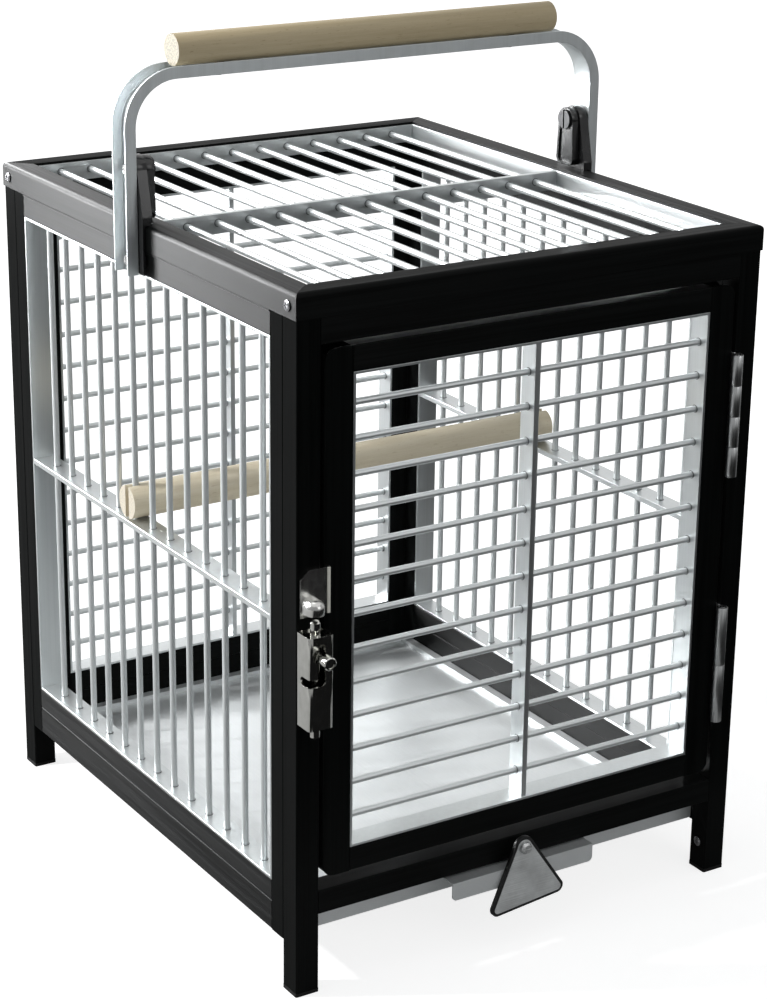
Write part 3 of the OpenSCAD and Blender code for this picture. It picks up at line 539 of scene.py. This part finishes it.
# Painted highlight: the bead on the keeper's bent edge is pale and barely metallic, so it shows the
# bright line of the bend under any light.
KEEPER_EDGE_HIGHLIGHT = BrushedMetal("keeper_edge_highlight", (0.70, 0.69, 0.62), (0.84, 0.83, 0.76), Brush.UP,
                           metallic=0.1, roughness=0.35, anisotropy=0.0)
TRAY_SATIN = CloudySheet("tray_satin", (0.64, 0.66, 0.665), (0.72, 0.74, 0.745), Brush.DEEP,
                         9.0, 0.42)
TAG_SCREW_SATIN = BrushedMetal("tag_screw_satin", (0.42, 0.43, 0.43), (0.6, 0.61, 0.61), Brush.UP,
                               roughness=0.3, anisotropy=0.0)
TAG_BACKING_BLACK = MouldedPlastic("tag_backing_black", grey(0.006), grey(0.014), 0.35)
TAG_FACE_SILVER = CloudySheet("tag_face_silver", (0.52, 0.53, 0.53), (0.80, 0.82, 0.82),
                              Brush.ACROSS, 60.0, 0.36)
HANDLE_SATIN = BrushedMetal("handle_satin", (0.55, 0.58, 0.585), (0.60, 0.63, 0.64), Brush.UP,
                            metallic=0.8, roughness=0.4, anisotropy=0.0)
BEECH_GRIP = TurnedWood("beech_grip", (0.42, 0.335, 0.20), (0.49, 0.40, 0.25), (0.57, 0.48, 0.32),
                        (0.30, 0.22, 0.12), (0.29, 0.265, 0.2))
HANDLE_SCREW_STEEL = PolishedMetal("handle_screw_steel", grey(0.7), 0.14, 0.1)
LOCK_PLASTIC = MouldedPlastic("lock_plastic", grey(0.005), (0.012, 0.012, 0.013), 0.24, 0.6)
LOCK_DISC_ZINC = BrushedMetal("lock_disc_zinc", (0.022, 0.022, 0.023), (0.034, 0.034, 0.035),
                              Brush.UP, roughness=0.36, anisotropy=0.0)
PALE_PERCH = TurnedWood("pale_perch", (0.58, 0.50, 0.35), (0.66, 0.58, 0.43), (0.74, 0.67, 0.53),
                        (0.48, 0.38, 0.24), (0.58, 0.53, 0.43))


def black_frame(brush: Brush) -> BrushedMetal:
    """The black anodised finish of the tubes.

    Args:
        brush: The direction along which they are brushed.

    Returns:
        The finish.
    """
    names = {Brush.UP: "black_upright", Brush.DEEP: "black_deep", Brush.ACROSS: "black_across"}
    return BrushedMetal(names[brush], FRAME_DARK, FRAME_LIGHT, brush, metallic=0.0, roughness=0.38,
                        roughness_spread=0.07, ior=1.13, anisotropy=0.85, streaks=1100.0,
                        depth=0.03 * MM)


def silver_strip(brush: Brush) -> BrushedMetal:
    """The satin silver finish of the lining strips.

    Args:
        brush: The direction along which they are brushed.

    Returns:
        The finish.
    """
    return BrushedMetal(f"satin_strip_{brush.name.lower()}", STRIP_DARK, STRIP_LIGHT, brush,
                        metallic=0.9, roughness=0.33, roughness_spread=0.02, anisotropy=0.2)


def silver_bar(brush: Brush) -> BrushedMetal:
    """The drawn silver finish of the bars.

    Args:
        brush: The direction along which they are drawn.

    Returns:
        The finish.
    """
    return BrushedMetal(f"drawn_bar_{brush.name.lower()}", BAR_DARK, BAR_LIGHT, brush,
                        metallic=0.75, roughness=0.4, roughness_spread=0.02, anisotropy=0.0)


class Rack:
    """Builds each finish once, when a piece first asks for it."""

    made: dict[str, bpy.types.Material] = {}

    @classmethod
    def get(cls, finish: Finish) -> bpy.types.Material:
        """The material of a finish.

        Args:
            finish: The finish.

        Returns:
            The one material of its name.
        """
        if finish.name not in cls.made:
            cls.made[finish.name] = finish.build()
        return cls.made[finish.name]


@dataclass
class SubAssembly:
    """A group of the carrier's nodes and the trim that is built onto them."""

    body: str

    def dress(self, names: Iterable[str], finish: Finish, soften: float = 0.0) -> None:
        """Gives CAD nodes a finish, and softens their sharp edges.

        Args:
            names: The nodes.
            finish: The finish for all of them.
            soften: Width of the small round on each sharp edge, in millimetres; none at 0.
        """
        for name in names:
            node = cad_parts[name]
            node.data.materials.clear()
            node.data.materials.append(Rack.get(finish))
            if soften:
                self.soften(node, soften * MM)
            LOG.info("%s: %s", name, finish.name)

    @staticmethod
    def soften(piece: bpy.types.Object, width: float) -> None:
        """Rounds the sharp edges of a piece with modifiers.

        Args:
            piece: The piece.
            width: Width of the round, in metres.
        """
        weld = piece.modifiers.new("Weld", "WELD")
        weld.merge_threshold = WELD_REACH
        bevel = piece.modifiers.new("Edges", "BEVEL")
        bevel.width = width
        bevel.segments = 2
        bevel.limit_method = "ANGLE"
        bevel.angle_limit = SHARP_EDGE
        bevel.harden_normals = True

    def piece(self, name: str, shape: Mesh, finish: Finish, slot: str,
              smooth: bool = True) -> bpy.types.Object:
        """Makes a new mesh piece that rides on this sub-assembly's body.

        Args:
            name: The piece's name.
            shape: Its points, in metres, and its faces, as numbers of points.
            finish: Its finish.
            slot: The record's material slot that it belongs to; not used.
            smooth: Whether its shallow edges shade as smooth.

        Returns:
            The piece.
        """
        mesh = bpy.data.meshes.new(name)
        points, faces = shape
        mesh.from_pydata([Vector(point) for point in points], [], faces)
        mesh.validate()
        made = bpy.data.objects.new(name, mesh)
        bpy.context.scene.collection.objects.link(made)
        mesh.materials.append(Rack.get(finish))
        if smooth:
            mesh.shade_smooth()
            mesh.set_sharp_from_angle(angle=SMOOTH_EDGE)
        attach(made, self.body)
        LOG.info("%s: new piece on %s", name, self.body)
        return made


def turned(profile: Sequence[Flat], base: Point, axis: Brush, sides: int = 24) -> Mesh:
    """A closed ring turned from a profile.

    Args:
        profile: Its closed outline as (radius, height along the axis), in metres.
        base: The point on the axis at height 0.
        axis: The axis.
        sides: How many steps make the full turn.

    Returns:
        The points and faces.
    """
    turn = Vector(UPWARD).rotation_difference(Vector(axis.value)).to_matrix()
    points, faces, count = [], [], len(profile)
    for step in range(sides):
        angle = math.tau * step / sides
        for radius, height in profile:
            local = Vector((radius * math.cos(angle), radius * math.sin(angle), height))
            points.append(tuple(Vector(base) + turn @ local))
    for step in range(sides):
        here, there = step * count, (step + 1) % sides * count
        for i in range(count):
            j = (i + 1) % count
            faces.append([here + i, there + i, there + j, here + j])
    return points, faces


def extruded(outline: Sequence[Flat], start: Point, across: Point, upward: Point, run: Point) -> Mesh:
    """A closed prism of an outline along a straight run.

    Args:
        outline: The outline as (across, up), in metres, anticlockwise as seen against the run.
        start: Where the outline's origin is.
        across: Direction of its first coordinate.
        upward: Direction of its second coordinate.
        run: The vector from the first end to the other.

    Returns:
        The points and faces.
    """
    count = len(outline)
    points = []
    for end in (Vector(start), Vector(start) + Vector(run)):
        points += [tuple(end + Vector(across) * a + Vector(upward) * b) for a, b in outline]
    sides = [[i, (i + 1) % count, (i + 1) % count + count, i + count] for i in range(count)]
    return points, [list(range(count))[::-1], list(range(count, 2 * count)), *sides]


def joined(parts: Iterable[Mesh]) -> Mesh:
    """Several meshes as one.

    Args:
        parts: The points and faces of each.

    Returns:
        The points and faces of all.
    """
    points, faces = [], []
    for some_points, some_faces in parts:
        faces += [[index + len(points) for index in face] for face in some_faces]
        points += some_points
    return points, faces


@dataclass
class Grille(SubAssembly):
    """One barred field: its bars, its lining strips, and dark rings of painted shade where the bars pass
    through, which stand in for the shade in the clearance gaps.

    The first strip is the liner around the field, and the others cross it.
    """

    name: str
    bars: str
    strips: tuple[str, ...]
    axis: Brush
    strip_brush: Brush
    bar_radius: float = 2.6 * MM
    rim_gap: float = 0.01 * MM
    rim_radius: float = 3.35 * MM
    rim_height: float = 0.16 * MM
    liner: float = 2.0 * MM
    lane_reach: float = 3.2

    def build(self) -> None:
        """Dresses the bars and strips, and adds the painted shade rings."""
        self.dress([self.bars], silver_bar(self.axis))
        self.dress(self.strips, silver_strip(self.strip_brush), 0.25)
        self.shade_rims()

    @property
    def lengthwise(self) -> int:
        """The coordinate that runs along the bars.

        Returns:
            Its number, from 0 to 2.
        """
        return self.axis.value.index(1.0)

    def lanes(self) -> list[Vector]:
        """Finds the middle of each bar, from the separate rods of the bars' node.

        Returns:
            The middles.
        """
        across = [i for i in range(3) if i != self.lengthwise]
        reach = self.lane_reach * self.bar_radius
        rods: list[list[Vector]] = []
        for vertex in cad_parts[self.bars].data.vertices:
            for rod in rods:
                if all(abs(rod[0][i] - vertex.co[i]) < reach for i in across):
                    rod.append(vertex.co)
                    break
            else:
                rods.append([vertex.co])
        middles = []
        for rod in rods:
            low = Vector([min(point[i] for point in rod) for i in range(3)])
            high = Vector([max(point[i] for point in rod) for i in range(3)])
            middles.append((low + high) / 2)
        return middles

    def crossings(self) -> list[tuple[float, int]]:
        """Finds where the strips' faces meet the bars.

        Returns:
            Each place along the bars, with 1 or -1 for the way that its rim faces.
        """
        bar_low, bar_high = (corner[self.lengthwise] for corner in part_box(self.bars))
        places = [(bar_low + self.liner, 1), (bar_high - self.liner, -1)]
        for name in self.strips[1:]:
            low, high = (corner[self.lengthwise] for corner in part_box(name))
            places += [(low, -1), (high, 1)]
        return places

    def shade_rims(self) -> None:
        """Adds one piece with a thin dark ring of painted shade around each bar at each strip, where the
        gap around the bar lies in shade.
        """
        inner, outer = self.bar_radius + self.rim_gap, self.rim_radius
        parts = []
        for middle in self.lanes():
            for place, way in self.crossings():
                base = Vector(middle)
                base[self.lengthwise] = place
                low, high = sorted((0.0, way * self.rim_height))
                profile = [(inner, low), (outer, low), (outer, high), (inner, high)]
                parts.append(turned(profile, tuple(base), self.axis))
        self.piece(f"{self.name}_rims", joined(parts), RIM_SHADOW, "silver_strips", smooth=False)


@dataclass
class Frame(SubAssembly):
    """The black tubes of the posts, the panels and the roof, with their screws and plugs."""

    reveal_depth: float = 0.7 * MM
    reveal_height: float = 1.5 * MM
    reveal_drop: float = 0.35 * MM
    reveal_corner: float = 0.21 * MM

    def build(self) -> None:
        """Dresses the tubes and adds the reveal strips under the roof."""
        uprights = ["post_front_left", "post_front_right", "post_back_left", "post_back_right",
                    "left_stiles", "right_stiles", "back_stiles"]
        side_rails = ["roof_side_rails", "left_rails", "right_rails", "left_base_rail", "right_base_rail"]
        end_rails = ["roof_end_rails", "back_rails", "back_base_rail", "front_top_rail",
                     "front_bottom_rail"]
        self.dress(uprights, black_frame(Brush.UP))
        self.dress(side_rails, black_frame(Brush.DEEP))
        self.dress(end_rails, black_frame(Brush.ACROSS))
        self.dress(["foot_plugs"], PLUG_RUBBER, 0.4)
        self.dress(["frame_screws"], SCREW_ZINC)
        self.reveals()

    def reveals(self) -> None:
        """Adds the narrow strips that show as a double line under the roof's side rails."""
        low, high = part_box("left_rails")
        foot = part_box("roof_side_rails")[0].z - self.reveal_drop - self.reveal_height
        depth, height, corner = self.reveal_depth, self.reveal_height, self.reveal_corner
        outline = [(0.0, 0.0), (depth - corner, 0.0), (depth, corner), (depth, height - corner),
                   (depth - corner, height), (0.0, height)]
        length = high.y - low.y
        for side, way, start_y in (("left", -1.0, low.y), ("right", 1.0, high.y)):
            start = (way * abs(low.x), start_y, foot)
            strip = extruded(outline, start, (way, 0, 0), UPWARD, (0, -way * length, 0))
            self.piece(f"reveal_{side}", strip, black_frame(Brush.DEEP), "black_frame", smooth=False)


@dataclass
class Door(SubAssembly):
    """The door's frame."""

    def build(self) -> None:
        """Dresses the door's tubes."""
        self.dress(["door_stiles"], black_frame(Brush.UP))
        self.dress(["door_rails"], black_frame(Brush.ACROSS))


@dataclass
class Hinges(SubAssembly):
    """The hinges' leaves and pins."""

    def build(self) -> None:
        """Dresses the leaves and the pins."""
        self.dress(["hinge_door_leaves", "hinge_post_leaves"], HINGE_SATIN, 0.2)
        self.dress(["hinge_pins"], HINGE_PIN_STEEL)


@dataclass
class Latch(SubAssembly):
    """The keeper on the door and the bolt in its housing on the post."""

    edge_half: float = 1.4 * MM
    edge_rise: float = 1.4 * MM
    edge_sunk: float = 0.3 * MM
    edge_inset: float = 0.5 * MM
    edge_sides: int = 14
    near_edge: float = 0.1 * MM

    def build(self) -> None:
        """Dresses the latch and adds the keeper's rolled edge."""
        self.dress(["latch_keeper"], KEEPER_NICKEL, 0.3)
        self.dress(["latch_housing"], BRIGHT_NICKEL, 0.3)
        self.dress(["latch_bolt", "latch_knob"], BRIGHT_NICKEL)
        self.rolled_edge()

    def rolled_edge(self) -> None:
        """Adds the bead along the keeper's free right edge; its pale finish paints the highlight of the
        bend.
        """
        low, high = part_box("latch_keeper")
        places = [vertex.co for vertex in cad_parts["latch_keeper"].data.vertices]
        plate_front = min(place.y for place in places if place.x > high.x - self.near_edge)
        angles = [math.pi * i / self.edge_sides for i in range(self.edge_sides + 1)]
        outline = [(self.edge_half * math.cos(a), self.edge_rise * math.sin(a)) for a in angles]
        start = (high.x - self.edge_half, plate_front + self.edge_sunk, low.z + self.edge_inset)
        run = (0, 0, high.z - low.z - 2 * self.edge_inset)
        bead = extruded(outline, start, (-1, 0, 0), (0, -1, 0), run)
        self.piece("keeper_rolled_edge", bead, KEEPER_EDGE_HIGHLIGHT, "latch")


@dataclass
class Tray(SubAssembly):
    """The tray and its tag's screw."""

    def build(self) -> None:
        """Dresses the tray and the screw."""
        self.dress(["tray"], TRAY_SATIN, 0.25)
        self.dress(["tag_screw"], TAG_SCREW_SATIN, 0.2)


@dataclass
class Tag(SubAssembly):
    """The hanging tag: a dark backing and a bare silver face."""

    def build(self) -> None:
        """Dresses the tag."""
        self.dress(["tag_backing"], TAG_BACKING_BLACK, 0.6)
        self.dress(["tag_face"], TAG_FACE_SILVER, 0.1)


@dataclass
class Handle(SubAssembly):
    """The handle's channel, its wooden grip and its screws."""

    def build(self) -> None:
        """Dresses the handle."""
        self.dress(["handle_channel"], HANDLE_SATIN, 0.35)
        self.dress(["handle_grip"], BEECH_GRIP, 0.9)
        self.dress(["grip_screws", "handle_pivot_screws", "handle_lock_screws"], HANDLE_SCREW_STEEL)


@dataclass
class HandleLock(SubAssembly):
    """One of the locks beside the handle: its lever and slotted disc."""

    side: str

    def build(self) -> None:
        """Dresses the lever and the disc."""
        self.dress([f"{self.side}_lock_lever"], LOCK_PLASTIC, 0.7)
        self.dress([f"{self.side}_lock_disc"], LOCK_DISC_ZINC, 0.3)


@dataclass
class Brackets(SubAssembly):
    """The plastic plates that carry the locks."""

    def build(self) -> None:
        """Dresses the brackets."""
        self.dress(["lock_brackets"], LOCK_PLASTIC, 0.5)


@dataclass
class Perch(SubAssembly):
    """The wooden perch."""

    def build(self) -> None:
        """Dresses the perch."""
        self.dress(["perch"], PALE_PERCH, 0.8)


class Seen(Enum):
    """Which rays see a stage piece."""

    ALL = "all"
    REFLECTIONS = "reflections"


@dataclass(frozen=True)
class Lamp:
    """An area lamp: its direction from the object, and its sizes in metres and power in watts."""

    name: str
    direction: Point
    distance: float
    width: float
    height: float
    power: float


@dataclass(frozen=True)
class Card:
    """A bright card that only reflections see, with its sizes in metres."""

    name: str
    direction: Point
    width: float
    height: float
    level: float


@dataclass(frozen=True)
class Viewpoint:
    """The photograph's viewing angle: degrees, a place in metres, and millimetres for the lens."""

    azimuth: float = -32.25108
    elevation: float = 19.62901
    roll: float = 0.74442
    place: Point = (-1.073562, -1.717720, 1.020694)
    lens: float = 91.587
    sensor: float = 36.0
    near: float = 0.05
    far: float = 60.0


LAMPS = (
    Lamp("key", (-0.82, 0.33, 0.46), 2.7, 0.12, 0.12, 56.0),
    Lamp("back_softbox", (-0.42, 0.76, 0.50), 2.5, 1.5, 1.0, 9.0),
    Lamp("top_softbox", (-0.25, 0.05, 0.97), 2.2, 1.1, 1.1, 5.0),
    Lamp("front_fill", (0.25, -0.9, 0.35), 3.0, 1.6, 1.2, 9.0),
)
CARDS = (
    Card("glint_high", (-0.32, 0.80, 0.51), 1.5, 0.34, 51.0),
    Card("glint_low", (-0.585, 0.80, 0.14), 0.5, 0.62, 85.0),
)


def placed(thing_name: str, data: bpy.types.ID) -> bpy.types.Object:
    """Puts a new object in the scene.

    Args:
        thing_name: The object's name.
        data: Its mesh, lamp or camera.

    Returns:
        The object.
    """
    made = bpy.data.objects.new(thing_name, data)
    bpy.context.scene.collection.objects.link(made)
    return made


def arc(first: float, last: float, steps: int = 24) -> list[Flat]:
    """Points on a unit circle around the object.

    Args:
        first: The first point's angle from -Y, in degrees, towards +X.
        last: The last point's angle.
        steps: How many steps lie between them.

    Returns:
        The points as (x, y).
    """
    start, end = math.radians(first), math.radians(last)
    angles = [start + (end - start) * step / steps for step in range(steps + 1)]
    return [(math.sin(angle), -math.cos(angle)) for angle in angles]


@dataclass
class Studio:
    """The pale floor and background, the lamps, and the darker room that only reflections see."""

    fill: float = 0.34
    fill_tint: Colour = (0.96, 0.985, 1.0)
    floor_size: float = 5.0
    floor_tones: Flat = (0.46, 0.5)
    floor_cells: float = 30.0
    floor_glow: float = 0.8
    floor_glow_far: float = 1.0
    floor_glow_reach: Flat = (0.5, 1.3)
    floor_mirrored: float = 0.05
    room_grey: float = 0.42
    room_radius: float = 3.6
    room_height: float = 3.0
    room_arc: Flat = (-140, 75)
    table_grey: float = 0.012
    table_near: float = 0.46
    table_lift: float = 0.004
    table_arc: Flat = (-50, 80)
    card_distance: float = 2.2
    target: Point = (0.0, 0.016, 0.3)

    def build(self) -> None:
        """Builds the whole studio."""
        self.world()
        self.floor()
        self.room()
        for card in CARDS:
            self.card(card)
        for lamp in LAMPS:
            self.lamp(lamp)
        self.camera(Viewpoint())

    def world(self) -> None:
        """Adds a background that is white to look at, and lights the object with a soft fill."""
        world = bpy.data.worlds.new("studio_world")
        bpy.context.scene.world = world
        tree = Tree(world)
        rays = tree.add("ShaderNodeLightPath").outputs
        seen = tree.maths("MAXIMUM", rays["Is Camera Ray"], rays["Is Glossy Ray"])
        seen = tree.maths("MAXIMUM", seen, rays["Is Transmission Ray"])
        fill = tree.add("ShaderNodeBackground", {"Color": (*self.fill_tint, 1.0), "Strength": self.fill})
        white = tree.add("ShaderNodeBackground", {"Color": (1.0, 1.0, 1.0, 1.0)})
        mix = tree.add("ShaderNodeMixShader", {0: seen, 1: fill.outputs[0], 2: white.outputs[0]})
        tree.add("ShaderNodeOutputWorld", {"Surface": mix.outputs[0]})

    @staticmethod
    def stage_piece(name: str, shape: Mesh, material: bpy.types.Material, seen: Seen) -> None:
        """Makes a stage piece.

        Args:
            name: Its name.
            shape: Its points and faces.
            material: Its material.
            seen: Which rays see it.
        """
        mesh = bpy.data.meshes.new(name)
        points, faces = shape
        mesh.from_pydata([Vector(point) for point in points], [], faces)
        made = placed(name, mesh)
        mesh.materials.append(material)
        if seen is Seen.REFLECTIONS:
            made.visible_camera = False
            made.visible_diffuse = False
            made.visible_transmission = False
            made.visible_shadow = False
            made.visible_volume_scatter = False
        LOG.info("%s: stage piece", name)

    def floor(self) -> None:
        """Adds a wide pale floor that glows white to look at and keeps the object's shadow."""
        tree = material_tree("floor_paper")
        dark, light = self.floor_tones
        paper = tree.noise(even(self.floor_cells), 3.0)
        colour = tree.tones(paper, ((0.0, grey(dark)), (1.0, grey(light))))
        matt = tree.add("ShaderNodeBsdfDiffuse", {"Color": colour})
        rays = tree.add("ShaderNodeLightPath").outputs
        place = tree.add("ShaderNodeTexCoord").outputs["Object"]
        reach = tree.add("ShaderNodeVectorMath", {0: place}, operation="LENGTH").outputs["Value"]
        level = tree.spread(reach, self.floor_glow, self.floor_glow_far, *self.floor_glow_reach)
        direct = tree.maths("MAXIMUM", rays["Is Camera Ray"], rays["Is Transmission Ray"])
        shown = tree.maths("MULTIPLY", direct, level)
        strength = tree.maths("MULTIPLY_ADD", rays["Is Glossy Ray"], self.floor_mirrored, shown)
        glow = tree.add("ShaderNodeEmission", {"Strength": strength})
        both = tree.add("ShaderNodeAddShader", {0: matt.outputs[0], 1: glow.outputs[0]})
        tree.add("ShaderNodeOutputMaterial", {"Surface": both.outputs[0]})
        size = self.floor_size
        corners = [(-size, -size, 0.0), (size, -size, 0.0), (size, size, 0.0), (-size, size, 0.0)]
        self.stage_piece("floor", (corners, [[0, 1, 2, 3]]), tree.owner, Seen.ALL)

    def room(self) -> None:
        """Adds the room on the camera's side: a grey wall and a dark table, in reflections only."""
        ring = arc(*self.room_arc)
        radius = self.room_radius
        points = [(radius * x, radius * y, z) for x, y in ring for z in (0.0, self.room_height)]
        faces = [[2 * i, 2 * i + 1, 2 * i + 3, 2 * i + 2] for i in range(len(ring) - 1)]
        wall = self.glow("room_wall", self.room_grey)
        self.stage_piece("room_wall", (points, faces), wall, Seen.REFLECTIONS)
        points = [(reach * x, reach * y, self.table_lift)
                  for x, y in arc(*self.table_arc) for reach in (self.table_near, radius)]
        table = self.glow("table_front", self.table_grey)
        self.stage_piece("table_front", (points, faces), table, Seen.REFLECTIONS)

    def card(self, card: Card) -> None:
        """Adds a bright card that faces the object.

        Args:
            card: The card.
        """
        way = Vector(card.direction).normalized()
        side = way.cross(Vector(UPWARD)).normalized() * card.width / 2
        rise = side.cross(way).normalized() * card.height / 2
        middle = Vector(self.target) + way * self.card_distance
        corners = ((-1, -1), (1, -1), (1, 1), (-1, 1))
        points = [tuple(middle + a * side + b * rise) for a, b in corners]
        glow = self.glow(card.name, card.level)
        self.stage_piece(card.name, (points, [[0, 1, 2, 3]]), glow, Seen.REFLECTIONS)

    @staticmethod
    def glow(name: str, level: float) -> bpy.types.Material:
        """An even, slightly cool grey that needs no light.

        Args:
            name: The material's name.
            level: Its brightness.

        Returns:
            The material.
        """
        tree = material_tree(name)
        glow = tree.add("ShaderNodeEmission", {"Color": (level, level * 1.01, level * 1.02, 1.0)})
        tree.add("ShaderNodeOutputMaterial", {"Surface": glow.outputs[0]})
        return tree.owner

    def lamp(self, lamp: Lamp) -> None:
        """Adds a lamp that faces the object.

        Args:
            lamp: The lamp.
        """
        data = bpy.data.lights.new(lamp.name, "AREA")
        data.shape = "RECTANGLE"
        data.size, data.size_y, data.energy = lamp.width, lamp.height, lamp.power
        made = placed(lamp.name, data)
        way = Vector(lamp.direction).normalized()
        made.location = Vector(self.target) + way * lamp.distance
        made.rotation_mode = "QUATERNION"
        made.rotation_quaternion = way.to_track_quat("Z", "Y")
        made.visible_camera = False
        LOG.info("%s: lamp", lamp.name)

    @staticmethod
    def camera(point: Viewpoint) -> None:
        """Adds the camera.

        Args:
            point: Where it stands and which way it looks.
        """
        azimuth, elevation, roll = (math.radians(angle) for angle in
                                    (point.azimuth, point.elevation, point.roll))
        view = Vector((-math.sin(azimuth) * math.cos(elevation),
                       math.cos(azimuth) * math.cos(elevation), -math.sin(elevation)))
        right = view.cross(Vector(UPWARD)).normalized()
        upward = right.cross(view)
        rolled_right = math.cos(roll) * right + math.sin(roll) * upward
        rolled_up = -math.sin(roll) * right + math.cos(roll) * upward
        data = bpy.data.cameras.new("camera")
        data.sensor_width, data.lens = point.sensor, point.lens
        data.clip_start, data.clip_end = point.near, point.far
        made = placed("camera", data)
        pose = Matrix((rolled_right, rolled_up, -view)).transposed().to_4x4()
        pose.translation = Vector(point.place)
        made.matrix_world = pose
        bpy.context.scene.camera = made
        bpy.context.scene.view_settings.view_transform = "Standard"
        LOG.info("camera at %s", point.place)


def main() -> None:
    """Builds the studio and every sub-assembly."""
    logging.basicConfig(level=logging.INFO, format="%(message)s")
    Studio().build()
    up, deep, across = Brush.UP, Brush.DEEP, Brush.ACROSS
    parts: list[SubAssembly] = [
        Frame("cage"),
        Grille("cage", "roof", "roof_bars", ("roof_liner", "roof_crossbar"), deep, deep),
        Grille("cage", "left", "left_bars", ("left_liner", "left_mid_rail"), up, up),
        Grille("cage", "right", "right_bars", ("right_liner", "right_mid_rail"), up, up),
        Grille("cage", "back", "back_bars", ("back_liner", "back_strip"), across, up),
        Door("door"),
        Grille("door", "door", "door_bars", ("door_liner", "door_strip"), across, up),
        Hinges("door"),
        Latch("door"),
        Tray("litter_tray"),
        Tag("tag"),
        Handle("handle"),
        HandleLock("left_lever", "left"),
        HandleLock("right_lever", "right"),
        Brackets("cage"),
        Perch("perch_rod"),
    ]
    for part in parts:
        LOG.info("%s on %s", type(part).__name__, part.body)
        part.build()


if __name__ == "__main__":
    main()
